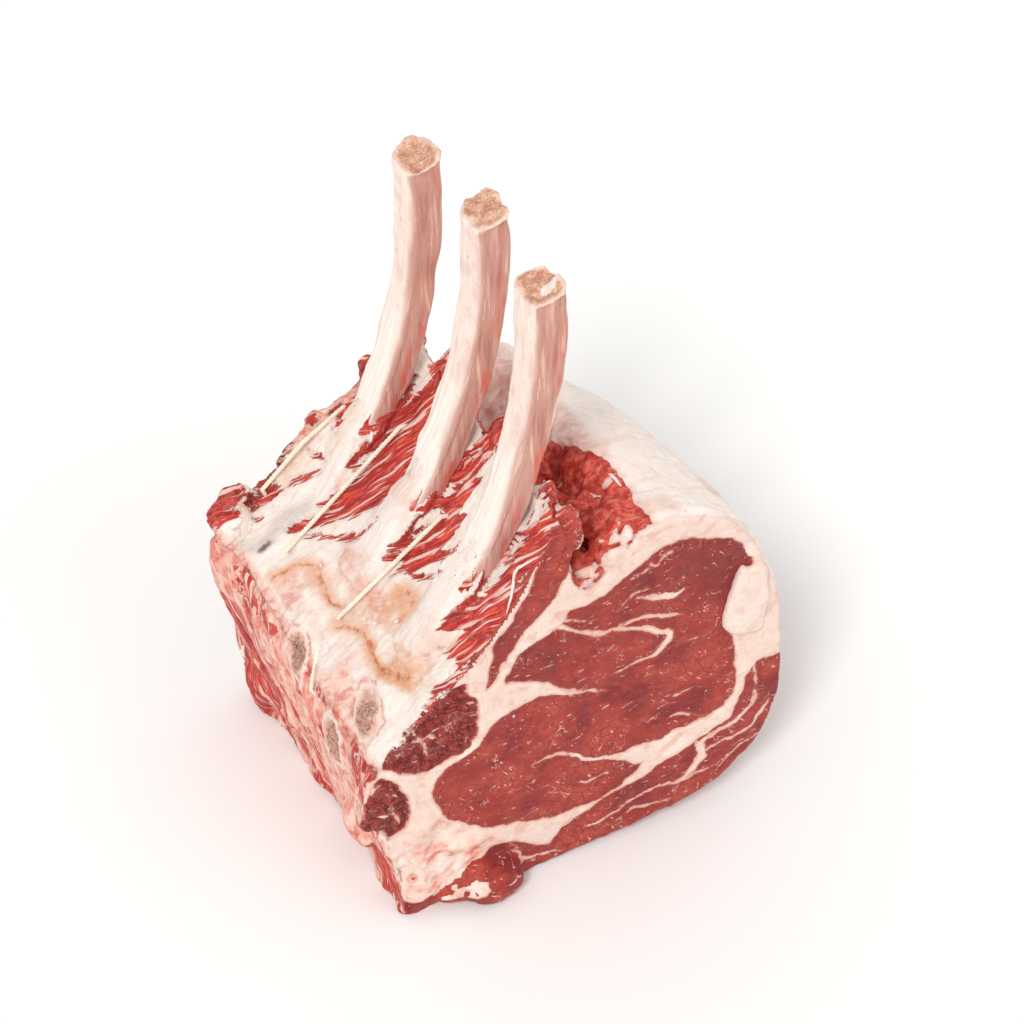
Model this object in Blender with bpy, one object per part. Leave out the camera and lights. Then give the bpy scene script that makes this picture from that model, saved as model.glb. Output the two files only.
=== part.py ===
"""Raw beef rib roast: a three-bone frenched rib joint standing on its feather-bone side.

Frame: metres, +Z up.  The front cut face looks along -Y, the chine (spine) side is at -X, the
ribs rise at the middle and the fat cap hangs over the +X side.  Sizes below are in millimetres
and are turned to metres where points are made.  The origin is under the middle of the box.
"""

import math

import bmesh
import bpy
from mathutils import Matrix, Vector

MM = 0.001                      # metres in a millimetre
GAP = 0.3                       # clearance between pieces that touch
MITRE_LIMIT = 0.4               # least cosine that a corner of an offset line is worked out with

# The whole joint
ORIGIN = (77.6, 69.2)           # X and Y of the box's middle, in the joint's own measure
DEPTH = 150.0                   # front cut face to rear cut face
EDGE_ROUND = 3.0                # rounding where a cut face meets the outside
EDGE_PULL = 0.985               # size of a cut face against the section just behind it
SECTION_STEPS = 3               # facets between two outline points
STATIONS = 17                   # sections along the depth
SHARP_ANGLE = 40.0              # edges sharper than this, in degrees, are shaded as creases

# Ribs: each follows one arc that is hollow towards -X, seen from the front
ARC_X, ARC_Z = -198.0, 305.0    # the arc's centre
ARC_R = 276.0                   # radius of the ribs' inner faces
RIB_PITCH = 50.0
RIB_FIRST_Y = 30.0              # the front rib's middle
RIB_FOOT_Z = 129.0              # height at which a rib leaves the chine
RIB_TOPS = {"rib_3": 306.0, "rib_2": 305.0, "rib_1": 298.0}
RIB_LEAN = {"rib_3": -8.0, "rib_2": -8.0, "rib_1": -15.0}   # how far a top leans off the arc
LEAN_EASE = 1.3                 # above 1, most of the lean comes near the top
RIB_WIDTH = 23.0                # along the spine
RIB_THICK = 15.5                # inner face to outer face
RIB_WAIST = 0.10                # how much slimmer the shaft is at its middle
RIB_SIDES = 16
RIB_RINGS = 16
RIB_ROUNDNESS = 0.65            # 1 is a plain ellipse, less is squarer
TOP_SLANT = 3.0                 # how far the cut top rises from its middle to its outer side
TOP_TURN = 0.35                 # share of that rise that is turned to the front

# Cross-section of the joint at the front: (x, height), from the foot round past the tail,
# over the fat cap, through the hollow behind the ribs and down the chine
BASE = [(6, 0), (60, 0), (110, 0)]
TAIL = [(131, 5), (156, 20), (170, 32), (177, 52), (179, 74), (177, 102), (175, 128)]
CAP = [(167, 150), (153, 176), (136, 188), (119, 192), (108, 190)]
HOLLOW = [(101, 179), (91, 169), (81, 168), (77, 182)]
CREST = [(78, 199), (70, 204)]
WALL_HEIGHTS = [194, 175, 156, 139, 124, 113]   # where the inner wall's points are
WALL_RECESS = (8.0, 2.0)        # depth of the inner wall behind the ribs' faces, top and foot
CHINE = [(-7, 103), (-12, 90), (-11, 74), (-6, 50), (-2, 26), (2, 8)]

# Layers seen on the cut: the lines between eye meat and fat, and between fat and outer strip
EYE_TO_FAT = [
    (80, 240), (79, 185), (75, 163), (80, 158), (95, 163), (105, 170), (115, 178), (128, 180),
    (142, 177), (152, 168), (160, 156), (160, 146), (153, 130), (153, 110), (156, 92), (157, 76), (152, 64),
    (138, 60), (120, 57), (113, 48), (107, 38), (97, 33), (84, 31), (68, 32), (55, 35), (42, 42),
    (31, 46), (30, 34), (34, 20), (38, -30),
]
FAT_TO_STRIP = [
    (215, 88), (178, 87), (168, 86), (162, 80), (161, 70), (157, 59), (147, 52), (133, 46),
    (118, 38), (102, 33), (90, 28), (79, 22), (71, 12), (60, 17), (47, 26), (10, 28),
]
LAYER_OUTSIDE_A = [(60, -60), (240, -60), (240, 260)]
LAYER_OUTSIDE_B = [(10, -60), (215, -60)]
LAYER_STEPS = 2                 # facets between two points of a dividing line
LAYER_DEPTHS = [-40, 0, 40, 80, 110, 130, 150, 190]     # where a layer's cutter has sections

# How the section changes from front to rear, seen from the eye of the meat: the direction and
# the spread of a change in degrees, the share by which the rear reaches further there, and an
# easing (above 1, most of the change happens near the rear)
EYE = (90.0, 80.0)
REAR_CHANGE = [
    (52, 22, -0.33, 1.6), (98, 15, -0.08, 1.6), (136, 15, 0.16, 8.0), (166, 13, 0.10, 1.6),
    (215, 25, 0.12, 1.6),
]
FRONT_LIFT = (7.0, 118.0, 22.0, 16.0, 25.0)  # height, middle, spread, depth, top of the lift

# Loose lumps: centre, radii
LUMPS = {
    "foot_lump": ((39.3, 0.7, 9), (17, 14.7, 12)),
    "rear_lump": ((-14, 142, 113), (9, 9, 12)),
    "rear_flap": ((-7, 139, 16), (7, 13, 18)),
}
LUMP_SEGMENTS, LUMP_RINGS = 12, 8
LUMP_CLEAR = 0.6                # lowest that a lump hangs over the floor

# Sawn bones on the chine: centre, half length, half width, lean of the long way from upright,
# and how far the face is turned up from level, both in degrees
BONE_DEPTH = 14.0
BONE_PROUD = 0.8
BONE_BEVEL = 1.5
BONE_ROOT, BONE_FACE = 0.8, 0.9  # size of its inner end and of its face against its widest
BONE_SIDES = 16
SAWN_BONES = {
    "sawn_bone_1": ((-12.6, 73.8, 99.4), 9.5, 6.0, 41, 32),
    "sawn_bone_2": ((-2.0, 23.8, 108.9), 9.5, 5.5, 58, 53),
    "sawn_bone_3": ((-12.6, 35.5, 84.5), 10.5, 6.0, 20, 2),
}

# Butcher's twine: the strands seen, each a taut span from one stitch to the next
TWINE_R = 0.9
TWINE_SIDES = 8
TWINE_SUNK = 4.0                # how far each end goes into the meat
TWINE_ON = 3.5                  # and how far it runs on while it goes in
TWINE_INTO = (0.8, 0.0, -0.6)   # the way the ends go in
TWINES = {
    "twine_1": [(41.0, 145.4, 160.2), (19.4, 141.5, 150.4), (1.5, 145.6, 126.5)],
    "twine_2": [(53.4, 113.8, 170.3), (-0.6, 115.6, 117.2)],
    "twine_3": [(48.8, 61.8, 166.2), (4.8, 70.3, 117.5)],
    "twine_4": [(-6.6, 66.1, 107.6), (-13.7, 57.7, 94.3)],
}

# name: colour, roughness
FINISHES = {
    "muscle": ((0.36, 0.035, 0.028, 1), 0.42),
    "fat": ((0.80, 0.62, 0.53, 1), 0.50),
    "bone": ((0.76, 0.55, 0.47, 1), 0.45),
    "twine": ((0.80, 0.74, 0.62, 1), 0.80),
}


def clear_scene():
    for old in list(bpy.data.objects):
        bpy.data.objects.remove(old, do_unlink=True)


def make_finish(name):
    colour, roughness = FINISHES[name]
    finish = bpy.data.materials.new(name)
    finish.use_nodes = True
    shader = finish.node_tree.nodes["Principled BSDF"]
    shader.inputs["Base Color"].default_value = colour
    shader.inputs["Roughness"].default_value = roughness
    shader.inputs["Metallic"].default_value = 0.0
    return finish


def curve_point(before, start, end, after, t):
    """A point at share t of the smooth stretch from start to end (a Catmull-Rom curve)."""
    return tuple(
        0.5 * (2 * b + (c - a) * t + (2 * a - 5 * b + 4 * c - d) * t * t
               + (3 * b - a - 3 * c + d) * t * t * t)
        for a, b, c, d in zip(before, start, end, after))


def smooth_loop(corners, steps):
    loop = []
    count = len(corners)
    for i in range(count):
        around = [corners[(i + k) % count] for k in (-1, 0, 1, 2)]
        loop += [curve_point(*around, step / steps) for step in range(steps)]
    return loop


def smooth_line(corners, steps):
    line = []
    for i in range(len(corners) - 1):
        around = [corners[max(i - 1, 0)], corners[i], corners[i + 1],
                  corners[min(i + 2, len(corners) - 1)]]
        line += [curve_point(*around, step / steps) for step in range(steps)]
    return line + [corners[-1]]


def offset_line(line, distance):
    """The line moved to its left by a distance, as seen from the front, with mitred corners."""
    moved = []
    for i, spot in enumerate(line):
        here = Vector(spot)
        lefts = []
        for near, far in ((i - 1, i), (i, i + 1)):
            if near >= 0 and far < len(line):
                run = (Vector(line[far]) - Vector(line[near])).normalized()
                lefts.append(Vector((-run.y, run.x)))
        middle = sum(lefts, Vector((0, 0))).normalized()
        moved.append(tuple(here + middle * (distance / max(middle.dot(lefts[0]), MITRE_LIMIT))))
    return moved


def wall_x(height, recess):
    return ARC_X + math.sqrt((ARC_R + recess) ** 2 - (ARC_Z - height) ** 2)


def outline():
    top, foot = WALL_RECESS
    share = [i / (len(WALL_HEIGHTS) - 1) for i in range(len(WALL_HEIGHTS))]
    wall = [(wall_x(z, top + (foot - top) * s), z) for z, s in zip(WALL_HEIGHTS, share)]
    return BASE + TAIL + CAP + HOLLOW + CREST + wall + CHINE


def section_point(x, z, y):
    """Where a point of the front section lies at depth y, both in millimetres."""
    depth_share = min(max(y / DEPTH, 0.0), 1.0)
    dx, dz = x - EYE[0], z - EYE[1]
    direction = math.degrees(math.atan2(dz, dx)) % 360.0
    reach = 1.0
    for centre, spread, change, ease in REAR_CHANGE:
        near = math.exp(-0.5 * ((direction - centre) / spread) ** 2)
        reach += depth_share ** ease * change * near
    height, middle, spread, reach_back, lift_top = FRONT_LIFT
    lift = height * math.exp(-0.5 * ((x - middle) / spread) ** 2 - max(y, 0.0) / reach_back)
    lift *= max(0.0, 1.0 - z / lift_top) if z > 0 else 1.0
    rise = reach if dz > 0 else min(reach, 1.0)
    return EYE[0] + dx * reach, EYE[1] + dz * rise + lift


def place(x, y, z):
    return Vector(((x - ORIGIN[0]) * MM, (y - ORIGIN[1]) * MM, z * MM))


def add_object(name, mesh, finish):
    made = bpy.data.objects.new(name, mesh)
    bpy.context.scene.collection.objects.link(made)
    made.parent = bpy.data.objects["roast"]
    if finish is not None:
        mesh.materials.append(finish)
    return made


def solid_from_rings(name, rings, finish=None):
    """A closed solid through rings of points of equal count, its two ends filled.

    Each side face is cut along the same diagonal, so that two solids through like rings keep
    an even gap.
    """
    made = bmesh.new()
    loops = [[made.verts.new(point) for point in ring] for ring in rings]
    count = len(loops[0])
    for low, high in zip(loops, loops[1:]):
        for i in range(count):
            j = (i + 1) % count
            made.faces.new((low[i], low[j], high[j]))
            made.faces.new((low[i], high[j], high[i]))
    made.faces.new(loops[0])
    made.faces.new(loops[-1])
    bmesh.ops.recalc_face_normals(made, faces=made.faces)
    mesh = bpy.data.meshes.new(name)
    made.to_mesh(mesh)
    made.free()
    mesh.shade_smooth()
    mesh.set_sharp_from_angle(angle=math.radians(SHARP_ANGLE))
    return add_object(name, mesh, finish)


def hide_tool(tool):
    tool.hide_render = True
    tool.display_type = "WIRE"
    return tool


def combine(target, tool, operation):
    step = target.modifiers.new(operation.lower() + "_" + tool.name, "BOOLEAN")
    step.object = tool
    step.operation = operation
    step.solver = "EXACT"


def block_rings():
    """Sections of the whole block of meat and fat, front to rear."""
    corners = outline()
    rings = []
    for station in range(STATIONS):
        inner = station - 1
        if station == 0:
            y, size = 0.0, EDGE_PULL
        elif station == STATIONS - 1:
            y, size = DEPTH, EDGE_PULL
        else:
            y = EDGE_ROUND + (DEPTH - 2 * EDGE_ROUND) * inner / (STATIONS - 3)
            size = 1.0
        ring = []
        for x, z in smooth_loop(corners, SECTION_STEPS):
            x, z = section_point(x, z, y)
            x = EYE[0] + (x - EYE[0]) * size
            z = EYE[1] + (z - EYE[1]) * size
            ring.append(place(x, y, max(z, EYE[1] * (1 - size))))
        rings.append(ring)
    return rings


def layer_tool(name, line, outside, grow):
    """A prism along the depth that holds all that lies beyond a dividing line."""
    flat = offset_line(smooth_line(line, LAYER_STEPS), grow) + outside
    rings = []
    for y in LAYER_DEPTHS:
        section = [section_point(x, z, y) for x, z in flat]
        rings.append([place(x, y, z) for x, z in section])
    return hide_tool(solid_from_rings(name, rings))


def add_lump(name):
    (x, y, z), radii = LUMPS[name]
    made = bmesh.new()
    bmesh.ops.create_uvsphere(made, u_segments=LUMP_SEGMENTS, v_segments=LUMP_RINGS, radius=1.0)
    for vert in made.verts:
        height = max(z + vert.co.z * radii[2], LUMP_CLEAR)
        vert.co = place(x + vert.co.x * radii[0], y + vert.co.y * radii[1], height)
    mesh = bpy.data.meshes.new(name)
    made.to_mesh(mesh)
    made.free()
    return hide_tool(add_object(name, mesh, None))


def rib_rings(name, grow):
    """Sections of a rib from its foot at the chine to its slanting cut top."""
    number = int(name[-1])
    middle_y = RIB_FIRST_Y + (3 - number) * RIB_PITCH
    centre_r = ARC_R + RIB_THICK / 2
    foot = math.asin((RIB_FOOT_Z - ARC_Z) / ARC_R)
    top = math.asin((RIB_TOPS[name] - ARC_Z) / ARC_R)
    rings = []
    for i in range(RIB_RINGS):
        share = i / (RIB_RINGS - 1)
        turn = foot + (top - foot) * share
        waist = 1 - RIB_WAIST * math.sin(math.pi * share)
        half_width = RIB_WIDTH / 2 * waist + grow
        half_thick = RIB_THICK / 2 * waist + grow
        along = Vector((-math.sin(turn), 0, math.cos(turn)))
        outward = Vector((math.cos(turn), 0, math.sin(turn)))
        ring = []
        for k in range(RIB_SIDES):
            angle = 2 * math.pi * k / RIB_SIDES
            c, s = math.cos(angle), math.sin(angle)
            across = math.copysign(abs(c) ** RIB_ROUNDNESS, c) * half_width
            through = math.copysign(abs(s) ** RIB_ROUNDNESS, s) * half_thick
            rise = 0.0
            if i == RIB_RINGS - 1:
                rise = TOP_SLANT * (s - TOP_TURN * c) + grow
            if i == 0:
                rise = -grow
            spot = outward * (centre_r + through) + along * rise
            x = ARC_X + spot.x + RIB_LEAN[name] * share ** LEAN_EASE
            ring.append(place(x, middle_y + across, ARC_Z + spot.z))
        rings.append(ring)
    return rings


def bone_rings(name, grow):
    """An oval plug of sawn bone that looks out of the chine side."""
    centre, half_long, half_wide, lean, turn = SAWN_BONES[name]
    up, tilt = math.radians(turn), math.radians(lean)
    outward = Vector((-math.cos(up), 0, math.sin(up)))
    upright = Vector((math.sin(up), 0, math.cos(up)))
    level = Vector((0, 1, 0))
    long_way = upright * math.cos(tilt) + level * math.sin(tilt)
    wide_way = level * math.cos(tilt) - upright * math.sin(tilt)
    rings = []
    front = BONE_PROUD + (BONE_BEVEL if grow else 0.0)
    steps = ((-BONE_DEPTH - grow, BONE_ROOT), (BONE_PROUD - BONE_BEVEL, 1.0), (front, BONE_FACE))
    for out, size in steps:
        ring = []
        for k in range(BONE_SIDES):
            angle = 2 * math.pi * k / BONE_SIDES
            spot = Vector(centre) + outward * out
            spot += long_way * math.cos(angle) * (half_long * size + grow)
            spot += wide_way * math.sin(angle) * (half_wide * size + grow)
            ring.append(place(*spot))
        rings.append(ring)
    return rings


def strand_rings(name, grow):
    """A taut strand of twine whose ends are sunk in the meat."""
    points = [Vector(point) for point in TWINES[name]]
    run = (points[-1] - points[0]).normalized()
    side = run.cross(Vector((0, 1, 0))).normalized()
    other = run.cross(side)
    into = Vector(TWINE_INTO) * (TWINE_SUNK + grow)
    on = run * (TWINE_ON + grow)
    rings = []
    for spot in [points[0] - on + into] + points + [points[-1] + on + into]:
        ring = []
        for k in range(TWINE_SIDES):
            angle = 2 * math.pi * k / TWINE_SIDES
            edge = side * math.cos(angle) + other * math.sin(angle)
            ring.append(place(*(spot + edge * (TWINE_R + grow))))
        rings.append(ring)
    return rings


def build():
    clear_scene()
    root = bpy.data.objects.new("roast", None)
    bpy.context.scene.collection.objects.link(root)
    finishes = {name: make_finish(name) for name in FINISHES}

    block = block_rings()
    lumps = [add_lump(name) for name in LUMPS]
    past_eye = layer_tool("past_eye", EYE_TO_FAT, LAYER_OUTSIDE_A, 0.0)
    past_eye_clear = layer_tool("past_eye_clear", EYE_TO_FAT, LAYER_OUTSIDE_A, -GAP)
    past_fat = layer_tool("past_fat", FAT_TO_STRIP, LAYER_OUTSIDE_B, 0.0)
    past_fat_clear = layer_tool("past_fat_clear", FAT_TO_STRIP, LAYER_OUTSIDE_B, -GAP)

    eye = solid_from_rings("eye_meat", block, finishes["muscle"])
    fat = solid_from_rings("fat_cap", block, finishes["fat"])
    strip = solid_from_rings("outer_strip", block, finishes["muscle"])
    for layer in (eye, fat, strip):
        for lump in lumps:
            combine(layer, lump, "UNION")
    combine(eye, past_eye_clear, "DIFFERENCE")
    combine(fat, past_eye, "INTERSECT")
    combine(fat, past_fat_clear, "DIFFERENCE")
    combine(strip, past_eye, "INTERSECT")
    combine(strip, past_fat, "INTERSECT")

    for name in RIB_TOPS:
        solid_from_rings(name, rib_rings(name, 0.0), finishes["bone"])
        combine(eye, hide_tool(solid_from_rings(name + "_seat", rib_rings(name, GAP))), "DIFFERENCE")
    for name in SAWN_BONES:
        solid_from_rings(name, bone_rings(name, 0.0), finishes["bone"])
        combine(eye, hide_tool(solid_from_rings(name + "_seat", bone_rings(name, GAP))), "DIFFERENCE")
    for name in TWINES:
        solid_from_rings(name, strand_rings(name, 0.0), finishes["twine"])
        combine(eye, hide_tool(solid_from_rings(name + "_hole", strand_rings(name, GAP))), "DIFFERENCE")


build()
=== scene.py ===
"""Looks of a raw three-bone beef rib roast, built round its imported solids.

Lengths are in millimetres of the joint's own measure (x from the chine to the tail, y from the
front cut face to the rear one, z up from the surface) and become metres in place().
"""

import itertools
import math

import bmesh
import bpy
import numpy as np
from mathutils import Matrix, Vector, kdtree


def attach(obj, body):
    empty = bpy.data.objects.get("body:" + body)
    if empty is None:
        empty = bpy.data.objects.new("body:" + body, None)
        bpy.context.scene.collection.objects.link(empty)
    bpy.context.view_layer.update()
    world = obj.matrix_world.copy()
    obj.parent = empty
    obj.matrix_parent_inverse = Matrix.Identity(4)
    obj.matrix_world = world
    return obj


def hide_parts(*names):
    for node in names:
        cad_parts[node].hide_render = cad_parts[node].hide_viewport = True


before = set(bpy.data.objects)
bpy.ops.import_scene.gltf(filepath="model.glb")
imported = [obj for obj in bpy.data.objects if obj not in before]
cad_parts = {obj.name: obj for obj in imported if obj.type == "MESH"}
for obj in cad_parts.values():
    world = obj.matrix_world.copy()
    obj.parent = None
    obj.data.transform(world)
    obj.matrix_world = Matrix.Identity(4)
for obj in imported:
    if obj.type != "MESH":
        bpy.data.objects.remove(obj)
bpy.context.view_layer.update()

MM = 0.001
MIDDLE_X, MIDDLE_Y = 77.6, 69.2     # the frame's origin in the joint's measure
DEPTH = 150.0                       # front cut face to rear cut face

# The ribs' arc, seen from the front, and where they stand along the spine
ARC_X, ARC_Z, ARC_R = -198.0, 305.0, 276.0
RIB_Y = {"rib_3": 30.0, "rib_2": 80.0, "rib_1": 130.0}
SCRAPED_FROM = {"rib_3": 200.0, "rib_2": 198.0, "rib_1": 196.0}   # height where bare bone starts
WALL_EDGE_X = MIDDLE_X              # where the flesh's upper edge is at that height
BURIED = 34.0                       # how far a bone's own piece runs on below that

# The inner wall is measured along a slightly tighter arc, from its foot at the chine
WALL_X, WALL_Z, WALL_R, WALL_FOOT = -168.0, 286.0, 240.0, -0.867

# How the cross-section changes to the rear, as in the solids: direction from the eye of the
# meat, spread, share, easing
EYE = (90.0, 80.0)
REAR_CHANGE = [
    (52, 22, -0.33, 1.6), (98, 15, -0.08, 1.6), (136, 15, 0.16, 8.0), (166, 13, 0.10, 1.6),
    (215, 25, 0.12, 1.6),
]

WALL_GRAIN = math.radians(-66)         # how the red strips' fibres run on the inner wall
FACE_GRAIN = math.radians(10)          # and the muscles' on the cut faces
RIB_MEAT_GRAIN = math.radians(52)      # and the meat's along the ribs

VOXEL = 1.05          # grain of the flesh's mesh
BONE_VOXEL = 0.75
FLESH_TRIANGLES = 194000
OUTSIDE = -50.0                              # the depth of a point that is in no line or island

# How far each solid's copy is grown before copies are fused, so that neighbours join
MEAT_GROWN, FOOT_GROWN, SAWN_GROWN, BONE_GROWN = 0.22, 1.0, 0.3, 0.45


# ---------------------------------------------------------------- measures and noise

def place(x, y, z):
    return Vector(((x - MIDDLE_X) * MM, (y - MIDDLE_Y) * MM, z * MM))


def measure(points):
    """The joint's measure, in millimetres, of an array of points in metres."""
    return points / MM + np.array([MIDDLE_X, MIDDLE_Y, 0.0])


def lattice(ix, iy, iz, seed):
    """A fixed value from 0 to 1 for each corner of a cubic lattice."""
    n = ix * 374761393 + iy * 668265263 + iz * 1274126177 + seed * 974634777
    n = (n ^ (n >> 13)) * 1103515245 & 0x7FFFFFFF
    n = (n ^ (n >> 16)) * 2654435769 & 0x7FFFFFFF
    return ((n >> 7) & 0xFFFFFF) / float(0xFFFFFF)


def smooth_noise(points, scale, seed, octaves=3):
    """Smooth noise from about -1 to 1. scale is the size of its largest lumps in millimetres."""
    total = np.zeros(len(points))
    weight, reach = 1.0, 0.0
    p = points / scale
    for octave in range(octaves):
        low = np.floor(p).astype(np.int64)
        f = p - low
        f = f * f * (3 - 2 * f)
        value = np.zeros(len(points))
        for step in itertools.product((0, 1), repeat=3):
            near = np.abs(1 - np.array(step) - f)
            value += near[:, 0] * near[:, 1] * near[:, 2] * lattice(*(low + step).T, seed + octave)
        total += weight * (2 * value - 1)
        reach += weight
        weight *= 0.5
        p = p * 2.03 + 7.7
    return total / reach * 1.6


def soft(low, high, value):
    """0 below low, 1 above high, smooth between."""
    t = np.clip((value - low) / (high - low), 0, 1)
    return t * t * (3 - 2 * t)


def bump(value, middle, spread):
    return np.exp(-0.5 * ((value - middle) / spread) ** 2)


# ---------------------------------------------------------------- lines and islands

def curve_point(before, start, end, after, t):
    return tuple(
        0.5 * (2 * b + (c - a) * t + (2 * a - 5 * b + 4 * c - d) * t * t
               + (3 * b - a - 3 * c + d) * t * t * t)
        for a, b, c, d in zip(before, start, end, after))


def smooth_path(corners, closed, steps=3):
    """A Catmull-Rom path through corners of any number of values each."""
    count = len(corners)
    path = []
    for i in range(count if closed else count - 1):
        if closed:
            around = [corners[(i + k) % count] for k in (-1, 0, 1, 2)]
        else:
            around = [corners[min(max(i + k, 0), count - 1)] for k in (-1, 0, 1, 2)]
        path += [curve_point(*around, step / steps) for step in range(steps)]
    return path + ([path[0]] if closed else [tuple(corners[-1])])


def line_distance(u, w, path, width_at=None):
    """Distance from each point to a path, less the path's own half width where it has one."""
    best = np.full(len(u), 1e9)
    for (a, b) in zip(path, path[1:]):
        ax, az, bx, bz = a[0], a[1], b[0], b[1]
        run = max((bx - ax) ** 2 + (bz - az) ** 2, 1e-9)
        t = np.clip(((u - ax) * (bx - ax) + (w - az) * (bz - az)) / run, 0, 1)
        away = np.hypot(u - ax - t * (bx - ax), w - az - t * (bz - az))
        if width_at is not None:
            away = away - (a[width_at] + t * (b[width_at] - a[width_at]))
        best = np.minimum(best, away)
    return best


def island_depth(u, w, corners):
    """How deep each point lies inside a smooth closed outline, negative outside it."""
    path = smooth_path(corners, closed=True)
    inside = np.zeros(len(u), dtype=bool)
    for (ax, az), (bx, bz) in zip(path, path[1:]):
        if az == bz:
            continue
        crosses = (az > w) != (bz > w)
        inside ^= crosses & (u < (bx - ax) * (w - az) / (bz - az) + ax)
    away = line_distance(u, w, path)
    return np.where(inside, away, -away)


def lines_depth(u, w, lines):
    """How deep each point lies in the nearest of several lines of (u, w, half width)."""
    depth = np.full(len(u), OUTSIDE)
    for line in lines:
        depth = np.maximum(depth, -line_distance(u, w, smooth_path(line, closed=False), 2))
    return depth


# The muscles on the cut faces, as islands in the fat: (x, height) on the front section
MUSCLES = {
    "eye": [
        (15, 77), (19, 63), (22, 55), (29, 48), (42, 40), (55, 35), (70, 31), (85, 31), (98, 33),
        (107, 39), (114, 46), (108, 52), (101, 58), (120, 58), (138, 61), (152, 65), (156, 76),
        (154, 90), (153, 104), (150, 116), (150, 128), (155, 137), (162, 147), (158, 158),
        (150, 168), (140, 172), (128, 177), (118, 177), (108, 170), (98, 163), (88, 158),
        (78, 156), (74, 150), (68, 147), (60, 144), (53, 137), (49, 127), (56, 125), (66, 121),
        (73, 114), (76, 110), (69, 110), (60, 111), (50, 108), (42, 102), (37, 94), (30, 90),
        (22, 85),
    ],
    "rib_side_wedge": [
        (-8, 103), (-2, 98), (5, 92), (12, 88), (22, 91), (33, 95), (37, 103), (37, 112),
        (36, 121), (32, 126), (33, 133), (28, 134), (20, 130), (10, 126), (2, 122), (-4, 114),
    ],
    "wall_muscle": [
        (41, 127), (43, 138), (44, 147), (50, 160), (55, 172), (62, 185), (69, 203), (76, 215),
        (84, 205), (80, 190), (75, 178), (68, 166), (62, 158), (56, 150), (50, 141), (45, 131),
    ],
    "between_ribs": [
        (-6, 108), (5, 124), (15, 131), (28, 138), (37, 146), (43, 155), (48, 167), (55, 182),
        (63, 196), (70, 215), (55, 215), (38, 190), (22, 165), (5, 145), (-12, 128),
    ],
    "chine_lump": [
        (-9, 95), (-4, 93), (2, 83), (5, 70), (3, 59), (-3, 54), (-9, 58), (-16, 70), (-15, 86),
    ],
    "foot_flesh": [
        (-12, 40), (-8, 34), (-5, 25), (0, 14), (8, 9), (20, 8), (30, 8), (38, 12), (47, 8),
        (52, -9), (20, -9), (-12, -5),
    ],
    "foot_lobe": [(36, 12), (39, 20), (46, 25), (57, 20), (66, 14), (74, 6), (60, -8), (40, -8)],
}

# The line between the outer layer of fat and the outer strip of muscle, closed round below it
STRIP = [
    (214, 88), (178, 87), (168, 86), (162, 80), (161, 70), (157, 59), (147, 52), (133, 46),
    (118, 38), (102, 33), (90, 28), (79, 22), (71, 12), (60, 5), (50, -12), (120, -40), (214, -30),
]

# Seams of fat inside the muscles: (x, height, half width)
SEAMS = [
    [(70, 112, 2.2), (80, 107, 1.0), (90, 102, 0.6), (96, 98, 0.1)],
    [(72, 150, 1.4), (80, 142, 1.0), (90, 138, 1.0), (100, 136, 1.1), (110, 131, 1.3),
     (118, 127, 1.8), (124, 123, 2.0), (121, 117, 1.6), (113, 112, 1.2), (104, 110, 0.8),
     (98, 108, 0.1)],
    [(100, 138, 0.9), (112, 138, 1.1), (124, 134, 1.0), (132, 133, 0.2)],
    [(108, 150, 0.4), (116, 148, 1.3), (123, 146, 1.5), (129, 147, 0.3)],
    [(74, 152, 0.9), (82, 149, 0.4), (90, 146, 0.1)],
    [(98, 147, 0.2), (106, 152, 0.6), (114, 154, 0.2)],
    [(61, 70, 0.2), (66, 71, 0.9), (76, 69, 0.9), (85, 64, 1.0), (94, 60, 1.1), (102, 56, 1.6),
     (112, 50, 2.4)],
    [(49, 127, 1.0), (58, 121, 0.9), (66, 118, 0.6), (72, 117, 0.1)],
    [(104, 162, 0.5), (110, 166, 0.7), (116, 168, 0.2)],
    [(112, 172, 0.2), (116, 168, 0.7), (121, 172, 0.6), (127, 172, 0.1)],
    [(124, 68, 0.1), (128, 69, 0.9), (134, 67, 0.6), (139, 64, 0.1)],
    [(82, 49, 0.2), (88, 47, 1.0), (95, 48, 0.8), (100, 46, 0.1)],
    [(124, 83, 0.1), (129, 82, 0.7), (136, 83, 0.3)],
    # in the outer strip
    [(140, 46, 1.8), (150, 50, 1.0), (160, 53, 1.2), (167, 60, 0.9), (167, 74, 0.7), (165, 86, 0.6)],
    [(130, 24, 0.6), (136, 27, 1.6), (142, 36, 2.4), (141, 45, 2.2)],
    [(142, 38, 0.9), (152, 43, 0.8), (164, 44, 0.9), (171, 52, 0.7), (174, 64, 0.2)],
    [(84, 15, 0.3), (96, 17, 0.8), (108, 22, 0.7), (120, 25, 1.0), (132, 24, 0.9), (146, 27, 0.5),
     (156, 31, 0.1)],
    [(100, 12, 0.2), (112, 17, 0.8), (122, 14, 0.6), (130, 15, 0.1)],
    [(50, 14, 0.6), (58, 9, 0.9), (68, 8, 0.6), (78, 5, 0.2)],
    [(52, 18, 0.4), (56, 13, 0.7), (55, 5, 0.3)],
    [(148, 22, 0.3), (157, 30, 0.8), (168, 36, 0.6), (176, 40, 0.3)],
    # in the wall muscle and the wedge
    [(43, 150, 0.7), (48, 157, 0.9), (51, 168, 1.0), (57, 178, 0.6)],
    [(2, 112, 0.2), (10, 108, 0.7), (18, 109, 0.5), (27, 113, 0.2)],
    [(14, 96, 0.1), (13, 103, 0.6), (8, 113, 0.5), (10, 120, 0.2)],
    [(-12, 78, 0.2), (-5, 73, 0.7), (0, 66, 0.6), (-2, 59, 0.2)],
]

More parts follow.
